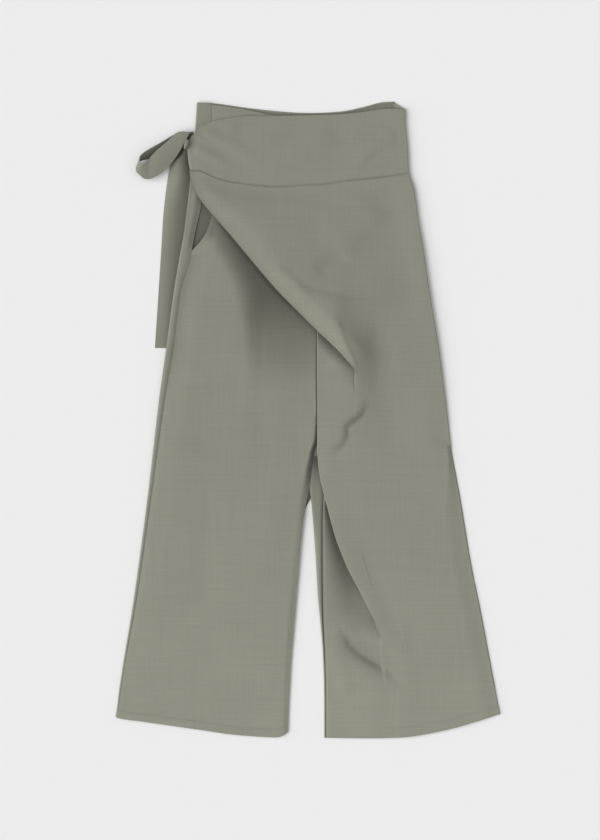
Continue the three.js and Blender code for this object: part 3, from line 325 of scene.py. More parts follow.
# Thread directions on the cloth: across is measured along the cloth, lengthwise follows y
def sectionGrain(middle, leftwards=True):
    step = np.diff(middle[..., [0, 2]], axis=1)
    walked = np.cumsum(np.pad(np.hypot(step[..., 0], step[..., 1]), ((0, 0), (1, 0))), axis=1)
    across = middle[:, :1, 0] + (-walked if leftwards else walked)
    return np.stack([across, middle[..., 1]], -1)


# What a panel measures when it lies flat: its widest row, its length and its area, in metres
def cutOf(middle, cells=None):
    down = np.linalg.norm(np.diff(middle, axis=0), axis=2)
    cells = np.ones((middle.shape[0] - 1, middle.shape[1] - 1), bool) if cells is None else cells
    width = (np.linalg.norm(np.diff(middle, axis=1), axis=2)[:-1] * cells).sum(1).max() * metre
    shown = np.pad(cells, ((0, 0), (0, 1))) | np.pad(cells, ((0, 0), (1, 0)))
    length = (down * shown).sum(0).max() * metre
    first = np.cross(middle[1:, :-1] - middle[:-1, :-1], middle[:-1, 1:] - middle[:-1, :-1])
    second = np.cross(middle[1:, :-1] - middle[1:, 1:], middle[:-1, 1:] - middle[1:, 1:])
    area = ((np.linalg.norm(first, axis=2) + np.linalg.norm(second, axis=2)) / 2 * cells).sum() * metre**2
    return width, length, area


pieces = {}


def panel(name, middle, material, cells=None, leftwards=True, wall=cloth["wall"], hollow=None):
    out, grain = sectionOut(middle, wall), sectionGrain(middle, leftwards)
    piece = wallPiece(name, middle, out, grain, material, cells, hollow)
    pieces[name] = {"object": piece, "cut": cutOf(middle, cells)}


def stack(*parts):
    return np.concatenate(parts, axis=1)


def grid(x, y, z):
    return np.stack(np.broadcast_arrays(x, y, z), -1)


# Two lists of columns, x and z, from the points that bend() and pleat() give
def columnsOf(points):
    return (np.stack([point[k] for point in points], 1) for k in (0, 1))


def seamDip(distance):
    return cloth["seamDip"] * np.exp(-((distance / cloth["seamRoll"]) ** 2))


# Materials
weave = {
    "pitch": 0.00072,  # one thread to the next
    "colour": (0.262, 0.262, 0.212),
    "pale": (0.293, 0.293, 0.238),  # paler towards the hems
    "paleFrom": 0.25,
    "paleTo": -0.5,
    "roughness": 0.88,
    "sheen": 0.12,
    "sheenRoughness": 0.5,
    "gloss": 0.25,
    "bump": 0.35,
    "depth": 0.00012,
    "hollow": 0.7,  # how much the painted shade darkens the cloth where its mask is full
    "driftScale": 55.0,  # threads aren't quite straight: how often they turn, and how far they go
    "drift": 0.0011,
    # Slubs along both sets of threads: how they are stretched, and a seed
    "slubs": (((1400.0, 26.0, 1.0), 3.0), ((24.0, 1300.0, 1.0), 8.0)),
    "slubScale": 0.42,
    "slubTone": 0.18,
    "slubHeight": 0.5,
    "slubMatt": 0.08,
    "threadTone": 0.10,
    "threadHeight": 0.75,
    "dyeScale": 9.0,  # broad unevenness of the dye
    "dyeTone": 0.10,
}


def link(tree, source, target):
    tree.links.new(source, target)


def node(tree, kind, **settings):
    made = tree.nodes.new(kind)
    for key, value in settings.items():
        setattr(made, key, value)
    return made


def maths(tree, operation, *values):
    made = node(tree, "ShaderNodeMath", operation=operation)
    for socket, value in zip(made.inputs, values):
        if isinstance(value, (int, float)):
            socket.default_value = value
        else:
            link(tree, value, socket)
    return made.outputs[0]


# Plain weave with slubs: threads go over and under each other, and some are thicker for a stretch
def plainWeaveGroup():
    group = bpy.data.node_groups.new("plainWeave", "ShaderNodeTree")
    face = group.interface
    for name, kind in (("Grain", "NodeSocketVector"), ("Place", "NodeSocketVector"), ("Pitch", "NodeSocketFloat")):
        face.new_socket(name, in_out="INPUT", socket_type=kind)
    for name in ("Tone", "Height", "Matt"):
        face.new_socket(name, in_out="OUTPUT", socket_type="NodeSocketFloat")
    inside, outside = node(group, "NodeGroupInput"), node(group, "NodeGroupOutput")
    grain, place, pitch = inside.outputs[0], inside.outputs[1], inside.outputs[2]

    # The threads aren't quite straight
    drift = node(group, "ShaderNodeTexNoise")
    drift.inputs["Scale"].default_value = weave["driftScale"]
    drift.inputs["Detail"].default_value = 2.0
    link(group, grain, drift.inputs["Vector"])
    shift = node(group, "ShaderNodeVectorMath", operation="MULTIPLY_ADD")
    shift.inputs[1].default_value = (weave["drift"], weave["drift"], 0.0)
    link(group, drift.outputs["Color"], shift.inputs[0])
    link(group, grain, shift.inputs[2])
    parts = node(group, "ShaderNodeSeparateXYZ")
    link(group, shift.outputs[0], parts.inputs[0])

    # Over and under
    turns = [maths(group, "MULTIPLY", maths(group, "DIVIDE", parts.outputs[k], pitch), math.pi) for k in (0, 1)]
    waves = [maths(group, "SINE", turn) for turn in turns]
    ridge = maths(group, "ABSOLUTE", maths(group, "MULTIPLY", *waves))

    slubs = []
    for stretch, seed in weave["slubs"]:
        stretched = node(group, "ShaderNodeVectorMath", operation="MULTIPLY")
        stretched.inputs[1].default_value = stretch
        link(group, grain, stretched.inputs[0])
        slub = node(group, "ShaderNodeTexNoise", noise_dimensions="4D")
        for key, value in (("W", seed), ("Scale", weave["slubScale"]), ("Detail", 3.0), ("Roughness", 0.62)):
            slub.inputs[key].default_value = value
        link(group, stretched.outputs[0], slub.inputs["Vector"])
        slubs.append(slub.outputs["Fac"])
    threads = maths(group, "ADD", *slubs)

    dye = node(group, "ShaderNodeTexNoise")
    dye.inputs["Scale"].default_value = weave["dyeScale"]
    dye.inputs["Detail"].default_value = 4.0
    link(group, place, dye.inputs["Vector"])

    slubTone, slubMatt = weave["slubTone"], weave["slubMatt"]
    dyeTone, threadTone = weave["dyeTone"], weave["threadTone"]
    tone = maths(group, "MULTIPLY_ADD", threads, slubTone, 1 - slubTone)
    tone = maths(group, "ADD", tone, maths(group, "MULTIPLY_ADD", dye.outputs["Fac"], dyeTone, -dyeTone / 2))
    tone = maths(group, "ADD", tone, maths(group, "MULTIPLY_ADD", ridge, threadTone, -threadTone / 2))
    link(group, tone, outside.inputs["Tone"])
    threadHeight = maths(group, "MULTIPLY", ridge, weave["threadHeight"])
    height = maths(group, "ADD", threadHeight, maths(group, "MULTIPLY", threads, weave["slubHeight"]))
    link(group, height, outside.inputs["Height"])
    link(group, maths(group, "MULTIPLY_ADD", threads, -slubMatt, slubMatt), outside.inputs["Matt"])
    return group


weaveGroup = plainWeaveGroup()


def newMaterial(name):
    material = bpy.data.materials.new(name)
    material.use_nodes = True
    return material, material.node_tree, material.node_tree.nodes["Principled BSDF"]


def clothMaterial(name, dark=1.0):
    material, tree, shader = newMaterial(name)
    coordinates = node(tree, "ShaderNodeTexCoord")
    grain = node(tree, "ShaderNodeUVMap", uv_map="grain")
    woven = node(tree, "ShaderNodeGroup", node_tree=weaveGroup)
    woven.inputs["Pitch"].default_value = weave["pitch"]
    link(tree, grain.outputs[0], woven.inputs["Grain"])
    link(tree, coordinates.outputs["Object"], woven.inputs["Place"])
    # Paler towards the hems
    lengthwise = node(tree, "ShaderNodeSeparateXYZ")
    link(tree, coordinates.outputs["Object"], lengthwise.inputs[0])
    fade = node(tree, "ShaderNodeMapRange", interpolation_type="SMOOTHSTEP")
    fade.inputs["From Min"].default_value = weave["paleFrom"]
    fade.inputs["From Max"].default_value = weave["paleTo"]
    link(tree, lengthwise.outputs["Y"], fade.inputs["Value"])
    blend = node(tree, "ShaderNodeMix", data_type="RGBA")
    for key, colour in (("A", weave["colour"]), ("B", weave["pale"])):
        blend.inputs[key].default_value = (*[part * dark for part in colour], 1)
    link(tree, fade.outputs["Result"], blend.inputs["Factor"])
    # Painted shade: darker in the hollows, where cloth lies on cloth, and in creases and under turned edges, where
    # shade falls
    hollow = node(tree, "ShaderNodeAttribute", attribute_name="hollow")
    lit = maths(tree, "MULTIPLY_ADD", hollow.outputs["Fac"], -weave["hollow"], 1.0)
    toned = node(tree, "ShaderNodeVectorMath", operation="SCALE")
    link(tree, blend.outputs["Result"], toned.inputs[0])
    link(tree, maths(tree, "MULTIPLY", woven.outputs["Tone"], lit), toned.inputs["Scale"])
    link(tree, toned.outputs[0], shader.inputs["Base Color"])
    matt = maths(tree, "ADD", woven.outputs["Matt"], weave["roughness"] - weave["slubMatt"] / 2)
    link(tree, matt, shader.inputs["Roughness"])
    bump = node(tree, "ShaderNodeBump")
    bump.inputs["Strength"].default_value = weave["bump"]
    bump.inputs["Distance"].default_value = weave["depth"]
    link(tree, woven.outputs["Height"], bump.inputs["Height"])
    link(tree, bump.outputs[0], shader.inputs["Normal"])
    shader.inputs["Sheen Weight"].default_value = weave["sheen"]
    shader.inputs["Sheen Roughness"].default_value = weave["sheenRoughness"]
    shader.inputs["Specular IOR Level"].default_value = weave["gloss"]
    return material


frontCloth = clothMaterial("frontCloth")
backCloth = clothMaterial("backCloth", 0.97)
tieCloth = clothMaterial("tieCloth", 0.98)
# Painted shade: the pocket facing's cloth is darkened to about half, for the shade in the pocket mouth
shadedPocketCloth = clothMaterial("shadedPocketCloth", 0.52)
print("trousers: cloth materials made")

# Hems: how far up the leg they are turned, how much thicker the cloth is there, and the dent along the stitches
hem = {
    "right": 17.0,
    "left": 14.0,
    "step": 0.35,
    "stepHalf": 0.6,
    "groove": 0.22,
    "grooveWidth": 1.1,
    "grooveBelow": 1.2,
}


def hemShape(level, turned):
    up = level - hemLevel
    step = 1 - ease(up, turned - hem["stepHalf"], turned + hem["stepHalf"])
    groove = np.exp(-(((up - turned + hem["grooveBelow"]) / hem["grooveWidth"]) ** 2))
    return hem["step"] * step - hem["groove"] * groove


# The tail of the tie lies partly under the left edge
tailRightX = curve((447, -181), (440, -185), (432, -189), (421, -189.7), (411, -188), (398, -185.5), (391, -184),
                   (383, -183.1), (365, -185.4), (346, -188), (321, -191.2), (303, -193.4), (284, -196),
                   (262, -198), (235, -199), (188, -202), (112.5, -207))


def tailLift(x, y):
    across = 1 - ease(x, tailRightX(y) + 1, tailRightX(y) + 16)
    lengthwise = ease(y, 70, 84) * (1 - ease(y, 284, 304))
    return (cloth["layer"] + cloth["clear"]) * across * lengthwise


# Left front panel
leftFront = {
    "columns": 74,
    "mouth": (266, 437),  # the pocket mouth lies between these levels
    "toPlateau": 38,  # from the side seam to the level part of the thigh
    "foldsFrom": 10,  # folds fade out this near to the side seam
    "wander": (0.22, 90, 5),  # height, wave and seed of its faint unevenness
    "foldSoftness": 5.0,
    "sideRoll": (0.4, 1.2),  # depth and width of the roll into the side seam
    "waistLine": (0.35, 3.6, 1.0),  # depth, place and width of the line under the waist edge
    "sideShade": (0.32, 7),  # painted shade beside the side seam, and how far it reaches
    # The thigh lies level, then drops into a hollow under the apron's edge
    "plateauZ": curve((500, 4.6), (440, 5.0), (391, 5.8), (340, 7.0), (321, 7.8), (300, 9.0), (275, 10.2),
                      (251, 10.8), (150, 11), (62, 10), (0, 8.6), (-100, 7), (-200, 5.8), (-350, 4.4), (-500, 3.2)),
    "hollowZ": curve((500, 3.4), (391, 3.4), (340, 3.4), (300, 2.3), (275, 2.2), (251, 2.2), (188, 2.4), (157, 4),
                     (125, 6.4), (94, 8), (62, 8.6), (0, 7.6), (-100, 6.4), (-200, 5.4), (-350, 4.2), (-500, 3.1)),
    "innerZ": curve((500, 2), (188, 2), (157, 3), (125, 4.4), (94, 5.4), (62, 6.2), (0, 6.2), (-60, 5.8),
                    (-200, 5.0), (-350, 4.2), (-500, 3.2)),
    "dropStart": curve((500, -130), (391, -150), (321, -158), (300, -160), (275, -154), (251, -138), (219, -122),
                       (188, -112), (157, -106), (62, -97), (-500, -120)),
    "dropEnd": curve((500, -70), (391, -110), (321, -118), (300, -116), (251, -93), (219, -76), (188, -70),
                     (157, -72), (62, -70), (-500, -60)),
    "innerRoll": curve((500, 4), (-20, 4), (-45, 6), (-70, 9), (-110, 12), (-150, 13), (-250, 12), (-500, 9)),
    # Painted shade in the valley under the apron's edge and in the groove along the inner leg
    "valley": curve((450, 0), (391, 0.3), (340, 0.7), (300, 0.75), (251, 0.8), (219, 0.85), (188, 0.8), (157, 0.62),
                    (125, 0.42), (94, 0.25), (62, 0.08), (40, 0)),
    "foldAt": curve((500, 17), (20, 17), (-30, 15.5), (-60, 15), (-500, 15)),
    "groove": curve((40, 0), (20, 0.05), (0, 0.35), (-16, 0.8), (-40, 1.2), (-66, 1.25), (-85, 1.15), (-110, 0.7),
                    (-158, 0.55), (-200, 0.4), (-250, 0.2), (-400, 0.1)),
    "grooveWidth": curve((40, 4), (-20, 5), (-45, 6), (-75, 9), (-110, 10), (-500, 10)),
    # Painted shade between the pocket mouth and the valley
    "shades": [fold(0.42, (13, 15), (-136, 342), (-147, 305), (-158, 275), fades=(0.3, 0.3))],
    "folds": [
        fold(-0.4, (6, 6), (-22, 142), (-15, 95)),
        fold(0.7, (40, 40), (-200, 180), (-235, -80), (-262, -380)),
        fold(0.6, (32, 32), (-60, -40), (-66, -240), (-70, -420)),
        fold(-0.5, (12, 18), (-150, -60), (-160, -200), (-172, -330)),
    ],
}


def leftGrooveX(y):
    return softLess(leftInnerX(y), leftFront["foldAt"](y), leftFront["foldSoftness"])


def leftFrontHeight(x, y):
    seam, groove = leftSeamX(y), leftGrooveX(y)
    innerStart, innerEnd = groove - leftFront["innerRoll"](y), groove - 0.2
    z = mix(sideSeamZ(y), leftFront["plateauZ"](y), ease(x, seam, seam + leftFront["toPlateau"]))
    z = mix(z, leftFront["hollowZ"](y), ease(x, leftFront["dropStart"](y), leftFront["dropEnd"](y)))
    z = mix(z, leftFront["innerZ"](y), ease(x, leftFront["dropEnd"](y), innerStart))
    toInner = ease(x, innerStart, innerEnd)
    folds = foldHeight(leftFront["folds"], x, y) + wander(x, y, *leftFront["wander"])
    folds = folds * (1 - toInner) * ease(x - seam, 0, leftFront["foldsFrom"])
    return np.maximum(mix(z, leftInnerZ(y), toInner) + folds, secondMid)


# Painted shade on the left front: the valley, the inner groove, beside the side seam and by the pocket mouth
def leftFrontPaintedShade(x, y):
    toValley = ease(x, leftFront["dropStart"](y) - 4, leftFront["dropEnd"](y) + 2)
    toApron = 1 - ease(apronEdgeX(y) - x, 0, 12)
    inValley = leftFront["valley"](y) * (toValley + 0.25 * toApron)
    toGroove = np.clip(1 - (leftGrooveX(y) - x) / leftFront["grooveWidth"](y), 0, 1) ** 1.1
    dark, reach = leftFront["sideShade"]
    besideSeam = dark * np.exp(-np.maximum(x - leftSeamX(y), 0) / reach) * ease(y, 20, 100) * (1 - ease(y, 255, 262))
    shaded = np.maximum(inValley, foldHeight(leftFront["shades"], x, y)) + besideSeam
    return np.maximum(shaded, leftFront["groove"](y) * toGroove)


def makeLeftFront():
    level = rowLevels(waistLevel, 4, hemLevel + hem["left"], 496.4)
    gridY = lambda x, level: edgeBlend(level, waistLevel, frontTopY(x), leftHemY(x))
    rowY = lambda x: gridY(x, level)
    mouthEnd, mouthStart = leftFront["mouth"]
    atMouth = (level < mouthStart) & (level > mouthEnd)
    leftX = lambda y: np.where(atMouth, pocketMouthX(y), leftSeamX(y) + cloth["seam"])
    left = leftX(rowY(leftX(level)))
    right = leftInnerX(rowY(leftInnerX(level))) - 0.25
    x = between(left, right, shares(leftFront["columns"]))
    y = gridY(x, level[:, None])
    z = leftFrontHeight(x, y) + hemShape(level, hem["left"])[:, None]
    depth, width = leftFront["sideRoll"]
    z = z - depth * np.exp(-(x - left[:, None]) / width) * (~atMouth)[:, None]
    depth, place, width = leftFront["waistLine"]
    z = z - depth * np.exp(-(((frontTopY(x) - y - place) / width) ** 2))
    middle = grid(x, y, z)
    panel("leftFrontPanel", middle, frontCloth, leftwards=False, hollow=leftFrontPaintedShade(x, y))
    return level, middle


leftLevels, leftMiddle = makeLeftFront()
print("trousers: left front made")

# Backs
backs = {
    "columns": 26,
    "turnChords": 9,
    "innerChords": 6,
    "strip": 12,
    "rollHeight": 1.5,  # the waist edge is turned and stands up a little
    "rollPlace": 1.6,
    "rollWidth": 1.7,
    "waistShade": 0.3,
    "mouthDrop": 2.6,  # how far the strip sinks beside the pocket mouth
    "seamRoll": (0.5, 1.2),  # depth and width of the strip's roll into the side seam
    # Painted shade along the inseam groove and at the crotch, by level
    "seamShade": curve((-58, 0), (-120, 0), (-140, 1.2), (-290, 1.2), (-350, 0.7), (-390, 0.3), (-430, 0)),
    "crotchShade": curve((-58, 1.0), (-68, 0.95), (-80, 0.6), (-95, 0.4), (-115, 0.25), (-160, 0.12), (-200, 0)),
}


def waistRoll(below):
    return backs["rollHeight"] * np.exp(-(((below - backs["rollPlace"]) / backs["rollWidth"]) ** 2))


# Painted shade just under the back's waist edge
def waistPaintedShade(below):
    return backs["waistShade"] * ease(below, 0.5, 5)


def halfTurn(x, z, radius, count):
    return columnsOf(bend(x, z, 180 + 0 * radius, 0 * radius, chordOf(radius, 180, count), count))


def makeBackLeft():
    level = rowLevels(waistLevel, 5, hemLevel + hem["left"], 498, 495)
    gridY = lambda x, level: edgeBlend(level, waistLevel, backTopY(x), leftHemY(x))
    rowY = lambda x: gridY(x, level)
    innerX = np.where(level > -109, centreBackX(level), leftInnerX(level)) + crotchReach(level) - cloth["seam"]
    edge = leftEdgeX(rowY(leftEdgeX(level))) + 0.5
    lift = tailLift(edge, rowY(edge))
    seam = leftSeamX(rowY(leftSeamX(level))) - cloth["seam"]
    seamZ = sideSeamZ(rowY(seam))
    rise = np.minimum(1.3, 0.12 * np.maximum(seam - edge - 4, 0))
    topZ = seamZ + rise * (1 - 0.8 * ease(level, 340, 385))
    radius = (topZ - cloth["floorMid"] - lift) / 2
    overTail = np.maximum(tailRightX(level) + 1.5, edge + radius + 4)
    floor = stack(between(innerX, overTail + 14, np.linspace(0, 1, 18)),
                  between(overTail + 14, edge + radius, np.linspace(0, 1, 9)[1:]))
    floorY = gridY(floor, level[:, None])
    floorZ = cloth["floorMid"] + tailLift(floor, floorY) + waistRoll(backTopY(floor) - floorY)
    turnX, turnZ = halfTurn(edge + radius, cloth["floorMid"] + lift, radius, backs["turnChords"])
    strip = between(edge + radius, seam, shares(backs["strip"])[1:])
    stripParts = (strip - strip[:, :1]) / (seam[:, None] - strip[:, :1])
    mouthDrop = np.minimum(backs["mouthDrop"], seamZ - 3.9) * ease(level, 262, 280) * (1 - ease(level, 425, 439))
    stripZ = mix(topZ[:, None], (seamZ - 0.3 - mouthDrop)[:, None], ease(stripParts, 0.3, 1))
    depth, width = backs["seamRoll"]
    stripZ = stripZ - depth * np.exp(-(seam[:, None] - strip) / width)
    x, z = stack(floor, turnX, strip), stack(floorZ, turnZ, stripZ)
    y = gridY(x, level[:, None])
    column = np.arange(x.shape[1])
    onFloor = column < floor.shape[1]
    onTurn = ~onFloor & (column <= floor.shape[1] + backs["turnChords"])
    # Painted shade under the waist edge, on the turned edge beside the hip and at the crotch
    hollow = waistPaintedShade(backTopY(x) - y) * onFloor + 0.2 * ease(y, 270, 300) * (1 - ease(y, 400, 420)) * onTurn
    hollow = hollow + 0.45 * (column < 8) * ease(y, -160, -140) * (1 - ease(y, -105, -95))
    panel("leftBackPanel", grid(x, y, z), backCloth, hollow=hollow)


# How far the right front reaches round under the edge
def rightWrap(y):
    return 16 * ease(y, cloth["wrapEnd"], 250) + 3


def makeBackRight():
    crotch, wrapEnd = cloth["crotch"], cloth["wrapEnd"]
    plain = rowLevels(waistLevel, 5, hemLevel + hem["right"], 498, 495)
    level = np.unique(np.concatenate([plain, [crotch, wrapEnd, wrapEnd - 3]]))[::-1]
    gridY = lambda x, level: edgeBlend(level, waistLevel, backTopY(x), rightHemY(x))
    rowY = lambda x: gridY(x, level)
    outer = lambda y: np.where(y < wrapEnd - 1, rightEdgeX(y), rightEdgeX(y) - rightWrap(y) - 0.6)
    right = outer(rowY(outer(level)))
    innerY = rowY(20 + 0 * level)
    seamZ = inseamZ(innerY)
    radius = (seamZ - cloth["floorMid"]) / 2
    above = level > crotch + 1
    edge = np.where(above, centreBackX(level) + cloth["seam"], rightInnerX(innerY) + 0.5)
    seam = inseamX(innerY) - cloth["seam"]
    floorEnd = np.where(above, edge, edge + radius)
    floor = between(right, floorEnd, np.linspace(0, 1, backs["columns"]))
    turnX, turnZ = halfTurn(floorEnd, cloth["floorMid"] + 0 * level, radius, backs["innerChords"])
    strip = between(floorEnd, seam, shares(5)[1:])
    x = stack(floor, turnX, strip)
    floorZ = cloth["floorMid"] + waistRoll(backTopY(floor) - gridY(floor, level[:, None]))
    z = stack(floorZ, turnZ, seamZ[:, None] - seamDip(seam[:, None] - strip))
    y = gridY(x, level[:, None])
    cells = np.ones((len(level) - 1, x.shape[1] - 1), bool)
    cells[level[1:] >= crotch, backs["columns"] - 1:] = False
    inside = np.arange(x.shape[1]) < backs["columns"]
    # Painted shade under the waist edge, at the crotch and along the inseam
    hollow = waistPaintedShade(backTopY(x) - y) * inside + backs["crotchShade"](y) * ~inside
    alongSeam = backs["seamShade"](y) * np.exp(-np.maximum(seam[:, None] - x, 0) / 1.0) * ~inside
    panel("rightBackPanel", grid(x, y, z), backCloth, cells, hollow=np.maximum(hollow, alongSeam))


makeBackLeft()
makeBackRight()
print("trousers: backs made")


# The facing shows in the pocket mouth, lower than the front, and runs on under it; its darker cloth is painted shade
def makePocketFacing():
    y = np.linspace(435, 262, 60)
    left = leftSeamX(y) - 4
    right = np.maximum(pocketMouthX(y), leftSeamX(y)) + 13
    x = between(left, right, shares(14))
    y = y[:, None]
    z = secondMid + 0.05 + tailLift(x, y) + 0.15 * np.sin((x + y * 0.4) / 9) ** 2
    panel("pocketFacing", grid(x, y, z), shadedPocketCloth, leftwards=False)


makePocketFacing()

# Right front and apron, cut in one
apron = {
    "columns": 84,
    "inner": 30,
    "under": 18,
    "pleatTop": 152,  # nothing of the leg is built under the apron above this level
    "wander": (0.25, 95, 11),  # height, wave and seed of its faint unevenness
    "liftReach": (3, 42),  # the right edge's lift fades out between these distances from it
    "turnChords": 9,
    "edgeHeight": curve((391, 9), (372, 10), (343, 11), (321, 12), (290, 12.6), (250, 12.8), (200, 12.6),
                        (160, 12.4), (139, 12.2), (115, 12), (100, 11.6), (85, 11), (70, 10.5), (40, 9.8), (0, 9.4),
                        (-60, 9.2), (-140, 9.4), (-240, 9.0), (-340, 7.4), (-420, 5.5), (-500, 4.2)),
    "band": curve((391, 0.6), (360, 2.8), (330, 4.2), (290, 4.6), (200, 5.4), (139, 6), (110, 5), (90, 3.5),
                  (70, 1.5), (40, 0.5), (0, 0)),
    "bandWidth": curve((391, 44), (330, 54), (290, 54), (240, 48), (200, 44), (0, 44)),
    "riseStart": curve((391, 20), (300, 40), (200, 40), (139, 25), (70, 5), (0, 0), (-500, 0)),
    "riseWidth": curve((391, 300), (330, 280), (270, 250), (220, 225), (180, 185), (150, 130), (120, 95), (80, 65),
                       (0, 60), (-60, 90), (-200, 130), (-500, 130)),
    "edgeLift": curve((500, 0.2), (391, 0.5), (300, 1.2), (200, 1.4), (100, 0.6), (20, -0.8), (-40, -2.2),
                      (-60, -2.4), (-500, -2)),
    "edgeRadius": 1.1,
    # Painted shade on the cloth just under the turned edge, where it runs in under it
    "tuckShade": curve((170, 0.7), (139, 0.8), (110, 0.9), (90, 0.85), (75, 0.45), (55, 0.2), (30, 0), (0, 0)),
    # Creases that are darkened with painted shade
    "hollows": [
        fold(0.55, (4, 6), (97, 42), (90, 14), (79, 2), (60, -11), (64, -24), (51, -46), (24, -62), fades=(0.3, 0.5)),
        fold(0.42, (4, 6), (48, -309), (57, -342), (69, -361), (86, -374), (114, -390), (150, -414),
             fades=(0.3, 0.4)),
        fold(0.2, (22, 20), (52, -318), (66, -350), (88, -372), (120, -394), (158, -416), fades=(0.3, 0.5)),
        fold(0.22, (16, 16), (76, 150), (92, 105), (92, 60), (84, 20), fades=(0.3, 0.4)),
    ],
    "legHeight": curve((391, 5.5), (200, 5.6), (0, 5.4), (-150, 5.0), (-300, 4.6), (-500, 3.6)),
    "pleatLength": straight((391, 14), (172, 14), (152, 34), (122, 24), (103, 14), (90, 6), (80, 2.5), (70, 1.5),
                            (50, 0.4), (-60, 0.4)),
    "pleatTurn": straight((391, 180), (90, 180), (80, 150), (74, 90), (66, 30), (58, 8), (50, 0)),
    "folds": [
        fold(2.0, (7, 12), (-60, 250), (-32, 222), (-8, 205), (12, 196)),
        fold(4.8, (24, 32), (42, 203), (41, 159), (54, 132), (74, 90), (78, 62), fades=(0.12, 0.25)),
        fold(1.7, (3.5, 12), (43, 174), (50, 144), (59, 119), (69, 99), (74, 86), (73, 74), (72, 56), (71, 31),
             fades=(0.2, 0.35)),
        fold(-1.2, (6, 6), (-20, 212), (6, 206), (45, 204), fades=(0.2, 0.2)),
        fold(-2.2, (10, 10), (13, 227), (35, 248), (59, 255), (66, 260)),
        fold(2.8, (42, 18), (35, 255), (60, 277), (79, 299), (104, 318), (126, 340), fades=(0.3, 0.3)),
        fold(-1.0, (14, 14), (107, 190), (112, 120), (115, 60), (110, 0)),
        fold(-1.0, (4, 6), (97, 42), (90, 14), (79, 2), (60, -11), (64, -24), (51, -46), (30, -58)),
        fold(-0.5, (5, 5), (161, 153), (197, 149)),
        fold(0.8, (24, 24), (-60, 352), (10, 330), (60, 300)),
    ],
}
legFold = {
    "seamShade": backs["seamShade"],
    # Painted shade on the cloth under the long fold
    "tuckShade": curve((-58, 0.2), (-110, 0.3), (-140, 0.8), (-175, 0.88), (-205, 0.88), (-252, 0.75), (-283, 0.56),
                  (-315, 0.35), (-340, 0.12), (-360, 0)),
    "length": straight((152, 36), (-40, 36), (-104, 35), (-200, 34), (-262, 22), (-290, 11), (-304, 5), (-318, 2),
                       (-332, 1), (-500, 1)),
    "turn": straight((152, 180), (-290, 180), (-304, 178), (-316, 130), (-326, 70), (-338, 28), (-352, 8), (-368, 0)),
    "top": curve((152, 6.6), (60, 7.2), (-40, 8.0), (-104, 9.0), (-200, 11), (-262, 11.5), (-290, 11), (-304, 10.6),
                 (-318, 10), (-332, 9), (-365, 6.8), (-420, 4.8), (-500, 3.5)),
    "folds": [
        fold(-1.1, (5, 8), (46, -312), (56, -341), (69, -361), (86, -374), (114, -390), (132, -402), (148, -414),
             (166, -421)),
        fold(-1.4, (20, 20), (54, -320), (71, -352), (92, -374), (125, -396), (160, -416), fades=(0.3, 0.4)),
        fold(1.1, (8, 16), (40, -345), (53, -387), (60, -415), (70, -440)),
        fold(-0.6, (6, 6), (77, -317), (86, -339), (92, -351)),
        fold(-0.5, (14, 14), (168, -310), (170, -400)),
        fold(0.9, (20, 20), (110, -330), (145, -365), (180, -395)),
    ],
}


def seamHeight(x):
    return mix(5.5, 8.6, 1 - ease(x, -170, -90)) - 0.6 * np.exp(-(((x + 30) / 60) ** 2))


def frontFolds(x, y):
    return foldHeight(apron["folds"], x, y) + foldHeight(legFold["folds"], x, y) + wander(x, y, *apron["wander"])


# The right edge turns under in a tight roll that stands a little off the surface
def rightTurn(right, width, top):
    floorMid, count = cloth["floorMid"], apron["turnChords"]
    radius = np.minimum(apron["edgeRadius"], (top - floorMid) / 2)
    parts = np.linspace(0, 1, 8)
    under = between(right - width, right - radius, parts)
    climb = ease(parts, 0.1, 1.25)[None, :]
    underZ = floorMid + (top - 2 * radius - floorMid)[:, None] * climb / ease(1.0, 0.1, 1.25)
    chord = chordOf(radius, 180, count)
    turnX, turnZ = columnsOf(bend(right - radius, top - 2 * radius, 0 * radius, 180 + 0 * radius, chord, count)[:-1])
    return stack(under, turnX), stack(underZ, turnZ), radius, under.shape[1]


# Painted shade: how dark the cloth is in the creases, under the turned edges and along the inseam
def frontShade(level, parts, y, edge, seam, shown):
    x, pleatX, inner, _, under = parts
    hollow = foldHeight(apron["hollows"], stack(*parts), y)
    afterPleat = x.shape[1] + pleatX.shape[1]
    afterInner = afterPleat + inner.shape[1]
    pleatColumns, innerColumns = slice(x.shape[1] - 1, afterPleat), slice(afterPleat, afterInner)
    turned = mix(0.2, 0.5, ease(level, 70, 84))[:, None]
    hollow[:, pleatColumns] = mix(hollow[:, pleatColumns], turned, ease(level, 58, 70)[:, None])
    tucked = apron["tuckShade"](level)[:, None] * (1 - ease(edge[:, None] - inner, -2, 30)) * ease(level, 40, 60)[:, None]
    hollow[:, innerColumns] = np.maximum(hollow[:, innerColumns], tucked)
    hollow[:, afterInner:-under.shape[1]] = 0.45 * (ease(-level, 288, 308) * (1 - ease(-level, 335, 350)))[:, None]
    underFold = legFold["tuckShade"](level)[:, None] * ease(shown, -0.1, 0.9)
    alongSeam = legFold["seamShade"](level)[:, None] * np.exp(-np.maximum(under - seam[:, None], 0) / 1.2)
    last = hollow[:, -under.shape[1]:]
    hollow[:, -under.shape[1]:] = np.maximum(np.maximum(underFold, alongSeam), last)
    return hollow


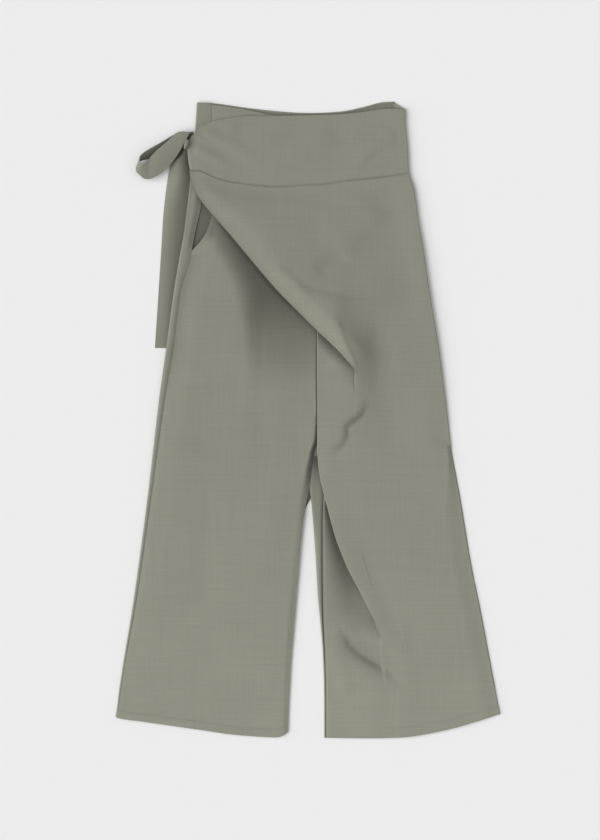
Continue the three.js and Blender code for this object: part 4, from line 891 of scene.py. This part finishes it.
def makeRightFront():
    level = rowLevels(yokeLevel, 4, hemLevel + hem["right"], 387, 389)
    gridY = lambda x, level: edgeBlend(level, yokeLevel, yokeSeamY(x) - cloth["seam"], rightHemY(x))
    rowY = lambda x: gridY(x, level)
    foldY = lambda x: edgeBlend(level[:, None], yokeLevel, yokeSeamY(x), rightHemY(x))
    down = -level
    flatEdge = ease(down, 38, 46)
    right = rightEdgeX(rowY(rightEdgeX(level))) - mix(0.5, 1.1, ease(down, 38, 70))
    legHeight, edgeLift = apron["legHeight"](level), apron["edgeLift"](level)
    wrapX, wrapZ, radius, _ = rightTurn(right, rightWrap(rowY(right)) - 0.5, legHeight + edgeLift)

    # From the right edge to the apron's turned edge
    startX = right - radius * (1 - flatEdge)
    edge = apronEdgeX(rowY(apronEdgeX(level))) + 0.5 * ease(level, 50, 70)
    x = between(startX, edge + turnRadius, shares(apron["columns"]))
    y = gridY(x, level[:, None])
    fromEdge, fromRight = x - edge[:, None], startX[:, None] - x
    riseShare = np.clip((fromEdge - apron["riseStart"](y)) / (apron["riseWidth"](y) - apron["riseStart"](y)), 0, 1)
    rise = 1 - mix(riseShare, ease(riseShare, 0, 1), 0.6)
    band = apron["band"](level)[:, None]
    nearEdge = 1 - ease(fromEdge, -4, apron["bandWidth"](level)[:, None])
    profile = mix(6.0, 30.0, ease(down, 46, 170))[:, None]
    outerTop = mix(legHeight + edgeLift, secondMid, flatEdge)[:, None]
    lift = (edgeLift * (1 - flatEdge))[:, None]
    legZ = mix(outerTop, legHeight[:, None] + lift, ease(fromRight, 0, profile))
    legZ = legZ - lift * ease(fromRight, *apron["liftReach"])
    folds = frontFolds(x, y)
    z = mix(legZ, apron["edgeHeight"](level)[:, None] + band, rise) - band * nearEdge + folds * ease(fromRight, 0, 25)
    atSeam = seamHeight(x) + lift * (1 - ease(fromRight, *apron["liftReach"]))
    z = mix(z, atSeam, ease(y - yokeSeamY(x), -34, -1))
    z = z - seamDip(yokeSeamY(x) - y) + hemShape(level, hem["right"])[:, None]

    # The pleat under that edge, and the leg from there to its long fold
    legTop = legFold["top"](level)
    length, turn = apron["pleatLength"](level), apron["pleatTurn"](level)
    pleatX, pleatZ = columnsOf(pleat(x[:, -1], z[:, -1], length, turn, legTop))
    legEdge = legFoldX(level) + 0.5
    innerParts = shares(apron["inner"])[1:]
    innerX = between(pleatX[:, -1], legEdge + turnRadius, innerParts)
    drop = ease(innerParts[None, :], 0, mix(1.0, 0.5, ease(level, 60, 130))[:, None])
    lower, opened = (1 - ease(level, 60, 90))[:, None], ease(down, 285, 325)[:, None]
    inFolds = frontFolds(innerX, foldY(innerX))
    inFolds = inFolds * lower * mix(np.clip(4 * (1 - innerParts), 0, 1)[None, :], 1, opened)
    innerZ = mix(pleatZ[:, -1:] - folds[:, -1:] * lower, legTop[:, None], drop) + inFolds

    # The long fold, and the cloth under it as far as the inseam
    length, turn = legFold["length"](level), legFold["turn"](level)
    legX, legZs = columnsOf(pleat(innerX[:, -1], innerZ[:, -1], length, turn, secondMid + 0.05))
    seam = inseamX(level) + cloth["seam"]
    underParts = shares(apron["under"])[1:]
    underX = between(legX[:, -1], seam, underParts)
    fromSeam = underX - seam[:, None]
    shown = np.clip(fromSeam / np.maximum(legEdge - seam, 8)[:, None], 0, 1)
    climb = 1 - mix(shown, ease(shown, 0, 1), 0.5)
    underY = foldY(underX)
    underFolds = foldHeight(legFold["folds"], underX, underY) + wander(underX, underY, *apron["wander"])
    underFolds = underFolds * opened * ease(fromSeam, 0, 8)
    start, seamZ = legZs[:, -1:] - inFolds[:, -1:] * opened, inseamZ(level)[:, None]
    low = secondMid + cloth["clear"]
    tucked = mix(mix(start, low, ease(underParts, 0, 0.5)[None, :]), seamZ, climb)
    spread = mix(start, seamZ, ease(underParts, 0, 1))
    underZ = np.maximum(mix(tucked, spread, opened) + underFolds, secondMid) - seamDip(fromSeam)

    parts = (x, pleatX, innerX, legX, underX)
    allX = stack(wrapX, *parts)
    allZ = stack(wrapZ, z, pleatZ, innerZ, legZs, underZ)
    allY = gridY(allX, level[:, None])
    wrapCount = wrapX.shape[1]
    allY[:, :wrapCount] = rowY(right)[:, None]
    middle = grid(allX, allY, allZ)

    # Cells that would lie hidden in other layers are left out
    apronEnd = wrapCount + x.shape[1] - 1
    pleatReturn = pleatChords + backSteps
    innerEnd = apronEnd + pleatX.shape[1] + innerX.shape[1]
    column = np.arange(middle.shape[1] - 1)[None, :]
    rowTop, rowBottom = level[:-1, None], level[1:, None]
    cells = np.ones((len(level) - 1, middle.shape[1] - 1), bool)
    cells &= ~((column < wrapCount) & (rowBottom < cloth["wrapEnd"] - 5))
    cells &= ~((column >= apronEnd + pleatReturn) & (rowTop > apron["pleatTop"] + 0.5))
    cells &= ~((column >= innerEnd + pleatReturn) & (rowTop > cloth["crotch"] + 2))
    shade = frontShade(level, parts, allY[:, wrapCount:], edge, seam, shown)
    panel("rightFrontAndApron", middle, frontCloth, cells, hollow=stack(0 * wrapX, shade))
    return level, middle, apronEnd, wrapCount


rightLevels, rightMiddle, apronLast, wrapColumnCount = makeRightFront()
print("trousers: right front and apron made")

# Waist yoke, gathered towards the tie
yoke = {
    "rows": 62,
    "columns": 190,
    "topHeight": 5.2,
    "tieHeight": 8.0,
    "wander": (0.25, 55, 21),
    "bunch": 1.2,  # how much higher it lies where it is gathered
    "lean": 13,  # its right edge slants where it turns under
    "leftRadius": 2.6,
    "leftChords": 6,
    "foot": (1.2, 2.4),  # how far down the left edge goes on after its turn
    "leftX": curve((0, -189.9), (0.45, -188.3), (0.7, -187.2), (0.9, -185.5), (1, -184)),
    "belly": 2.6,
    "folds": [
        fold(2.3, (9, 8), (-181, 427), (-165, 421), (-146, 411), (-130, 402), (-114, 393), fades=(0.15, 0.6)),
        fold(2.6, (12, 9), (-173, 452), (-150, 444), (-128, 434.5), (-106, 423), (-85, 409), (-66, 395),
             fades=(0.2, 0.6)),
        fold(1.1, (3.5, 4), (-180, 447), (-162, 438), (-146, 429), fades=(0.1, 0.5)),
        fold(1.6, (13, 13), (-142, 470), (-124, 461), (-104, 448), fades=(0.4, 0.5)),
        fold(0.9, (14, 14), (-40, 440), (-10, 415), (5, 400), fades=(0.5, 0.5)),
        fold(-0.8, (14, 14), (16, 456), (50, 449), (84, 455), fades=(0.5, 0.5)),
        fold(1.6, (9, 14), (150, 449), (138, 444), (111, 432), (90, 416), (76, 396), (70, 384), fades=(0.3, 0.35)),
        fold(-0.6, (4, 4), (112, 464), (128, 459), (146, 461), fades=(0.4, 0.4)),
        fold(-0.7, (4, 4), (136, 436), (160, 430), fades=(0.4, 0.02)),
        fold(-0.5, (4, 4), (146, 414), (160, 410), fades=(0.3, 0.02)),
    ],
}


def makeYoke():
    share = shares(yoke["rows"], 0.7)
    down = share[:, None]
    gridY = lambda x, share: mix(yokeTopY(x), yokeSeamY(x), share)
    sideY = gridY(150 + 0 * share, share)
    right = rightEdgeX(sideY) - 0.5
    lift = mix(apron["edgeLift"](waistLevel), apron["edgeLift"](yokeLevel), share)
    top = mix(yoke["topHeight"], apron["legHeight"](yokeLevel), share) + lift
    width = rightWrap(sideY) - 0.5
    wrapX, wrapZ, radius, underCount = rightTurn(right, width, top)
    lean = yoke["lean"] * (1 - down) * np.clip((right[:, None] - wrapX) / width[:, None], 0, 1)
    wrapY = gridY(right, share)[:, None] + lean * (np.arange(wrapX.shape[1]) < underCount)
    left, leftRadius = yoke["leftX"](share) + 0.5, yoke["leftRadius"]
    x = between(right - radius, left + leftRadius, shares(yoke["columns"], 0.3))
    y = gridY(x, down)
    toLeft = 1 - ease(x, -150, 10)
    bunch = 1 - ease(x, left[:, None], left[:, None] + 34)
    flat = mix(mix(yoke["topHeight"], yoke["tieHeight"], toLeft), seamHeight(x), ease(down, 0.1, 1))
    flat = flat + yoke["belly"] * np.exp(-(((x + 60) / 75) ** 2)) * np.sin(math.pi * np.clip(down, 0, 1) ** 1.2)
    edges = ease(right[:, None] - x, 4, 24) * mix(0.35, 1, ease(down, 0, 0.14)) * mix(0.3, 1, ease(1 - down, 0, 0.14))
    folds = foldHeight(yoke["folds"], x, y) + wander(x, y, *yoke["wander"])
    z = flat + folds * edges + yoke["bunch"] * bunch
    z = z + lift[:, None] * (1 - ease((right - radius)[:, None] - x, *apron["liftReach"]))
    z = z - seamDip(y - yokeSeamY(x)) + 0.15 * np.exp(-((yokeTopY(x) - y - 0.8) / 0.8) ** 2)
    chord = chordOf(leftRadius, 90, yoke["leftChords"])
    endX, endZ = columnsOf(bend(x[:, -1], z[:, -1], 180 + 0 * left, 270 + 0 * left, chord, yoke["leftChords"]))
    footX, footZ = np.repeat(endX[:, -1:], 2, 1), endZ[:, -1:] - np.array([yoke["foot"]])
    allX, allZ = stack(wrapX, x, endX, footX), stack(wrapZ, z, endZ, footZ)
    allY = gridY(allX, down)
    allY[:, :wrapX.shape[1]] = wrapY
    panel("waistYoke", grid(allX, allY, allZ), frontCloth)


makeYoke()
print("trousers: yoke made")

# Tie: tail, loop and knot
tail = {
    "wall": 0.95,
    "ripple": 0.4,
    "left": curve((447, -193), (438, -195.5), (432, -199), (425, -203), (418, -207), (411, -210.5), (405, -213.5),
                  (398, -215.2), (392, -216.8), (386, -218), (378, -219.5), (350, -223.5), (314, -227), (282, -229),
                  (235, -232), (188, -235), (112.5, -240)),
    "litLeft": curve((450, -180), (434, -186), (426, -192), (420, -194.5), (414, -198), (408, -206), (402, -213),
                     (396, -225), (380, -260), (112.5, -260)),
    "leftHeight": curve((447, 7.5), (432, 7.8), (421, 6), (411, 4.5), (398, 3), (378, 1.4), (350, 0.6), (314, 0.55),
                        (112.5, 0.55)),
    "rightHeight": curve((447, 7.5), (432, 7.4), (421, 5.5), (411, 2.2), (398, 1.2), (383, 0.6), (112.5, 0.55)),
    "crown": curve((432, 0), (421, 0.6), (411, 1.8), (398, 3.4), (378, 4.2), (350, 3.6), (314, 2.4), (282, 1.2),
                   (235, 0.5), (112.5, 0)),
    # Painted shade beside the hip, by level
    "hollow": curve((432, 0.5), (421, 0.8), (398, 0.9), (383, 0.75), (360, 0.62), (314, 0.55), (250, 0.6),
                    (180, 0.6), (112.5, 0.4)),
}


def makeTail():
    y = np.concatenate([np.linspace(447, 300, 82), np.linspace(297, 112.5, 46)])[:, None]
    s = shares(20)[None, :]
    x = mix(tail["left"](y), tailRightX(y), s)
    z = mix(tail["leftHeight"](y), tail["rightHeight"](y), s**1.5)
    z = z + tail["crown"](y) * np.sin(math.pi * s**0.8) * (1 - 0.3 * s)
    ripple = tail["ripple"] * np.sin(s * 9 + y / 17) * ease(y, 330, 400) * np.sin(math.pi * s)
    # Painted shade where the tail runs under the loop and where it lies beside the hip
    behind = 1 - ease(x, tail["litLeft"](y) - 1.5, tail["litLeft"](y) + 1)
    besideHip = tail["hollow"](y) * ease(s, mix(0.0, 0.35, ease(y, 330, 380)), 0.95)
    hollow = np.maximum(besideHip, 1.25 * behind)
    panel("tieTail", grid(x, y, z + ripple), tieCloth, leftwards=False, wall=tail["wall"], hollow=hollow)


loop = {
    "lengthwise": 170,
    "across": 22,
    "wall": 1.2,
    "crown": straight((0, 0.3), (0.12, 1.4), (0.3, 2.0), (0.42, 0.6), (0.6, 0.6), (1, 0.1)),
    # Painted shade along the loop, strongest on the strand at the back
    "hollow": straight((0, 0), (0.36, 0), (0.4, 0.3), (0.43, 0.3), (0.47, 0), (0.5, 0), (0.6, 0.95), (1, 1)),
}
# Its stations: the upper edge and the lower edge of the strap, each as x, y, z
loopStations = np.array([
    (-184, 450.5, 15, -195, 430, 14.5), (-197, 451, 17, -199, 423, 14), (-206.5, 448, 17, -206.5, 411, 13),
    (-221, 434.5, 17, -216.5, 398, 12.5), (-234.5, 423, 17, -229.5, 386.5, 12), (-245, 412.5, 17, -246, 377.6, 11),
    (-252, 403.5, 16.5, -256, 378, 10), (-257, 399.5, 15.5, -263, 384, 8.5), (-261, 401.5, 14.5, -269, 391, 7),
    (-263, 407, 14, -266.5, 402, 5), (-261.5, 413.8, 14, -259, 407.5, 4), (-249.5, 422.8, 14.5, -244.5, 410, 3.5),
    (-229.5, 434, 14.5, -224, 422, 3.5), (-208, 447, 13, -206, 436, 4), (-196, 450.5, 12, -196, 443, 5),
    (-184, 451, 11, -185, 444.8, 8), (-178.5, 451.5, 8, -179.5, 447.2, 5.8),
], float)


def squareTo(middle):
    out = np.cross(np.gradient(middle, axis=0), np.gradient(middle, axis=1))
    return out / np.maximum(np.linalg.norm(out, axis=2, keepdims=True), 1e-9)


def makeLoop():
    middleLine = (loopStations[:, :3] + loopStations[:, 3:]) / 2
    walked = np.concatenate([[0], np.cumsum(np.linalg.norm(np.diff(middleLine, axis=0), axis=1))])
    at = np.linspace(0, walked[-1], loop["lengthwise"] + 1)
    share = at / walked[-1]
    rails = np.stack([curve(*zip(walked, loopStations[:, k]))(at) for k in range(6)], 1)
    s = np.linspace(0, 1, loop["across"] + 1)[None, :]
    middle = rails[:, None, :3] + (rails[:, None, 3:] - rails[:, None, :3]) * s[..., None]
    middle = middle + squareTo(middle) * (loop["crown"](share)[:, None] * np.sin(math.pi * s))[..., None]
    length = at[:, None] + 0 * s
    width = np.linalg.norm(rails[:, 3:] - rails[:, :3], axis=1)[:, None] * s
    far = ease(share, 0.5, 0.56)[:, None]  # painted shade: the strand at the back is darker towards its lower edge
    hollow = loop["hollow"](share)[:, None] * mix(1, mix(0.35, 1.2, s), far)
    out = squareTo(middle) * loop["wall"] / 2
    piece = wallPiece("tieLoop", middle, out, np.stack([width, length], -1), tieCloth, hollow=hollow)
    pieces["tieLoop"] = {"object": piece, "cut": cutOf(middle)}


knotShape = {
    "turns": 40,
    "rings": 22,
    "half": (3.2, 7.4, 4.6),  # across, lengthwise and up
    "place": (-190, 431.5, 13.5),
    "slant": 0.25,
}


def makeKnot():
    turns, rings = knotShape["turns"], knotShape["rings"]
    lengthwise = np.linspace(0, math.pi, rings + 1)[:, None]
    around = np.linspace(0, 2 * math.pi, turns, endpoint=False)[None, :]
    girth = np.sin(lengthwise) ** 0.55
    pleats = 1 + 0.05 * np.cos(7 * around + 1.5 * np.cos(lengthwise)) + 0.03 * np.cos(3 * around)
    halfX, halfY, halfZ = knotShape["half"]
    x = halfX * girth * pleats * np.cos(around)
    z = halfZ * girth * pleats * np.sin(around)
    y = halfY * np.cos(lengthwise) + 0 * around
    slanted = lambda x, y, z: np.stack([x + knotShape["slant"] * y, y, z], -1) + np.array(knotShape["place"])
    ends = slanted(np.zeros(2), np.array([halfY, -halfY]), np.zeros(2))
    points = np.concatenate([slanted(x, y, z)[1:-1].reshape(-1, 3), ends]) * metre
    first, last = len(points) - 2, len(points) - 1
    faces = []
    for i in range(rings - 2):
        for j in range(turns):
            k = (j + 1) % turns
            faces.append((i * turns + j, i * turns + k, (i + 1) * turns + k, (i + 1) * turns + j))
    for j in range(turns):
        k = (j + 1) % turns
        faces.append((first, k, j))
        faces.append((last, (rings - 2) * turns + j, (rings - 2) * turns + k))
    mesh = bpy.data.meshes.new("tieKnot")
    mesh.from_pydata(points.tolist(), [], faces)
    layer = mesh.uv_layers.new(name="grain")
    for corner in mesh.loops:
        place = mesh.vertices[corner.vertex_index].co
        layer.data[corner.index].uv = (place.x + place.z, place.y)
    mesh.shade_smooth()
    mesh.materials.append(tieCloth)
    return addObject("tieKnot", mesh)


makeTail()
makeLoop()
knot = makeKnot()
print("trousers: tie made")

# Stitches, a row of threads along each path
stitches = {
    "Pitch": 0.0031,
    "Length": 0.0023,
    "Radius": 0.00026,
    "sides": 6,
    "proud": 0.05,  # how far the middle of a thread stands off the cloth, in millimetres
    "dark": (0.20, 0.20, 0.16),
    "light": (0.30, 0.30, 0.245),
    "twist": 900.0,
}


def threadMaterial():
    material, tree, shader = newMaterial("threadMatt")
    coordinates = node(tree, "ShaderNodeTexCoord")
    twist = node(tree, "ShaderNodeTexNoise")
    twist.inputs["Scale"].default_value = stitches["twist"]
    link(tree, coordinates.outputs["Object"], twist.inputs["Vector"])
    blend = node(tree, "ShaderNodeMix", data_type="RGBA")
    blend.inputs["A"].default_value = (*stitches["dark"], 1)
    blend.inputs["B"].default_value = (*stitches["light"], 1)
    link(tree, twist.outputs["Fac"], blend.inputs["Factor"])
    link(tree, blend.outputs["Result"], shader.inputs["Base Color"])
    shader.inputs["Roughness"].default_value = 0.75
    return material


thread = threadMaterial()


def stitchTree():
    tree = bpy.data.node_groups.new("stitchRow", "GeometryNodeTree")
    face = tree.interface
    face.new_socket("Path", in_out="INPUT", socket_type="NodeSocketGeometry")
    sockets = {name: face.new_socket(name, in_out="INPUT", socket_type="NodeSocketFloat")
               for name in ("Pitch", "Length", "Radius")}
    face.new_socket("Stitches", in_out="OUTPUT", socket_type="NodeSocketGeometry")
    inside, outside = node(tree, "NodeGroupInput"), node(tree, "NodeGroupOutput")
    path = node(tree, "GeometryNodeMeshToCurve")
    spots = node(tree, "GeometryNodeCurveToPoints", mode="LENGTH")
    align = node(tree, "FunctionNodeAlignRotationToVector", axis="Z")
    stitch = node(tree, "GeometryNodeMeshCylinder")
    stitch.inputs["Vertices"].default_value = stitches["sides"]
    place = node(tree, "GeometryNodeInstanceOnPoints")
    realize = node(tree, "GeometryNodeRealizeInstances")
    finish = node(tree, "GeometryNodeSetMaterial")
    finish.inputs["Material"].default_value = thread
    link(tree, inside.outputs["Path"], path.inputs["Mesh"])
    link(tree, path.outputs["Curve"], spots.inputs["Curve"])
    link(tree, inside.outputs["Pitch"], spots.inputs["Length"])
    link(tree, spots.outputs["Tangent"], align.inputs["Vector"])
    link(tree, inside.outputs["Radius"], stitch.inputs["Radius"])
    link(tree, inside.outputs["Length"], stitch.inputs["Depth"])
    link(tree, spots.outputs["Points"], place.inputs["Points"])
    link(tree, stitch.outputs["Mesh"], place.inputs["Instance"])
    link(tree, align.outputs["Rotation"], place.inputs["Rotation"])
    link(tree, place.outputs["Instances"], realize.inputs["Geometry"])
    link(tree, realize.outputs["Geometry"], finish.inputs["Geometry"])
    link(tree, finish.outputs["Geometry"], outside.inputs["Stitches"])
    return tree, sockets


stitchNodes, stitchSockets = stitchTree()


def stitchRow(name, path, sheetName):
    points = (np.asarray(path) + np.array([0, 0, cloth["wall"] / 2 + stitches["proud"]])) * metre
    mesh = bpy.data.meshes.new(name)
    mesh.from_pydata(points.tolist(), [(k, k + 1) for k in range(len(points) - 1)], [])
    piece = addObject(name, mesh)
    modifier = piece.modifiers.new("stitchRow", "NODES")
    modifier.node_group = stitchNodes
    for key, socket in stitchSockets.items():
        modifier[socket.identifier] = stitches[key]
    evaluated = piece.evaluated_get(bpy.context.evaluated_depsgraph_get())
    made = bpy.data.meshes.new_from_object(evaluated)
    piece.modifiers.remove(modifier)
    piece.data = made
    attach(piece, "root")
    pieces[sheetName].setdefault("with", []).append(piece)


# A path at some distance from a panel's last column, between two levels
def edgeStitchPath(middle, level, fromLevel, toLevel, inset):
    path = []
    for row in middle[(level <= fromLevel) & (level >= toLevel)]:
        away = np.abs(row[:, 0] - row[-1, 0])
        order = np.argsort(away)
        path.append([np.interp(inset, away[order], row[order, k]) for k in range(3)])
    return path


def hemStitchPath(middle, level, height):
    return middle[int(np.argmin(np.abs(level - hemLevel - height + hem["grooveBelow"])))]


apronMiddle = rightMiddle[:, wrapColumnCount:apronLast + 1]
stitchRow("apronEdgeStitches", edgeStitchPath(apronMiddle, rightLevels, 384, 92, 4.2), "rightFrontAndApron")
hemMiddle = rightMiddle[:, wrapColumnCount + 1:-20]
stitchRow("rightHemStitches", hemStitchPath(hemMiddle, rightLevels, hem["right"]), "rightFrontAndApron")
stitchRow("leftHemStitches", hemStitchPath(leftMiddle[:, 1:-1], leftLevels, hem["left"]), "leftFrontPanel")
mouthMiddle = leftMiddle[:, ::-1]
stitchRow("pocketMouthStitches", edgeStitchPath(mouthMiddle, leftLevels, 425, 270, 4.5), "leftFrontPanel")
print("trousers: stitches made")

# Each piece stands for a CAD node, whose mesh is hidden, and rides with the body
sheets = {
    "leftBackPanel": ("back_left", ["tieTail"]),
    "rightBackPanel": ("back_right", []),
    "leftFrontPanel": ("front_left", ["leftBackPanel", "pocketFacing"]),
    "pocketFacing": ("pocket_facing_left", ["leftBackPanel"]),
    "rightFrontAndApron": ("front_right_wrap", ["rightBackPanel", "leftFrontPanel"]),
    "waistYoke": ("wrap_yoke", ["leftFrontPanel", "rightBackPanel"]),
    "tieLoop": ("tie_loop", ["tieTail"]),
    "tieTail": ("tie_tail", []),
}
for name, (cadNode, restsOn) in sheets.items():
    made = pieces[name]
    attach(made["object"], "root")
    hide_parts(cadNode)
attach(knot, "root")
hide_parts("tie_knot")

# Floor, light and camera
stage = {
    "floorColour": (0.9, 0.9, 0.9),
    "floorHalf": 3.0,
    # Strength, softness, height above the surface and turn to the left of straight up in the picture, in degrees
    "lamps": {"softSun": (2.77, 64, 35, 98), "topLight": (0.66, 100, 83, 278), "sideLight": (0.55, 70, 21, 278)},
    "sky": 0.154,
    "cameraHeight": 4.0,
    "cameraX": -0.0119,
    "cameraY": -0.0006,
    "lens": 109.06,
}


def makeFloor():
    half = stage["floorHalf"]
    mesh = bpy.data.meshes.new("floor")
    mesh.from_pydata([(-half, -half, 0), (half, -half, 0), (half, half, 0), (-half, half, 0)], [], [(0, 1, 2, 3)])
    material, _, shader = newMaterial("paleFloor")
    shader.inputs["Base Color"].default_value = (*stage["floorColour"], 1)
    shader.inputs["Roughness"].default_value = 0.9
    shader.inputs["Specular IOR Level"].default_value = 0.1
    mesh.materials.append(material)
    addObject("floor", mesh)


def makeLights():
    for name, (strength, softness, height, turn) in stage["lamps"].items():
        lamp = bpy.data.lights.new(name, "SUN")
        lamp.energy = strength
        lamp.angle = math.radians(softness)
        sun = addObject(name, lamp)
        sun.rotation_euler = (math.radians(height - 90), 0, math.radians(turn))
    world = bpy.data.worlds.new("evenLight")
    world.use_nodes = True
    background = world.node_tree.nodes["Background"]
    background.inputs["Color"].default_value = (1, 1, 1, 1)
    background.inputs["Strength"].default_value = stage["sky"]
    bpy.context.scene.world = world


def makeCamera():
    lens = bpy.data.cameras.new("camera")
    lens.sensor_width = 36
    lens.lens = stage["lens"]
    lens.clip_end = 50
    camera = addObject("camera", lens)
    camera.location = (stage["cameraX"], stage["cameraY"], stage["cameraHeight"])
    bpy.context.scene.camera = camera


makeFloor()
makeLights()
makeCamera()
bpy.context.scene.view_settings.view_transform = "Standard"
print("trousers: floor, light and camera made")
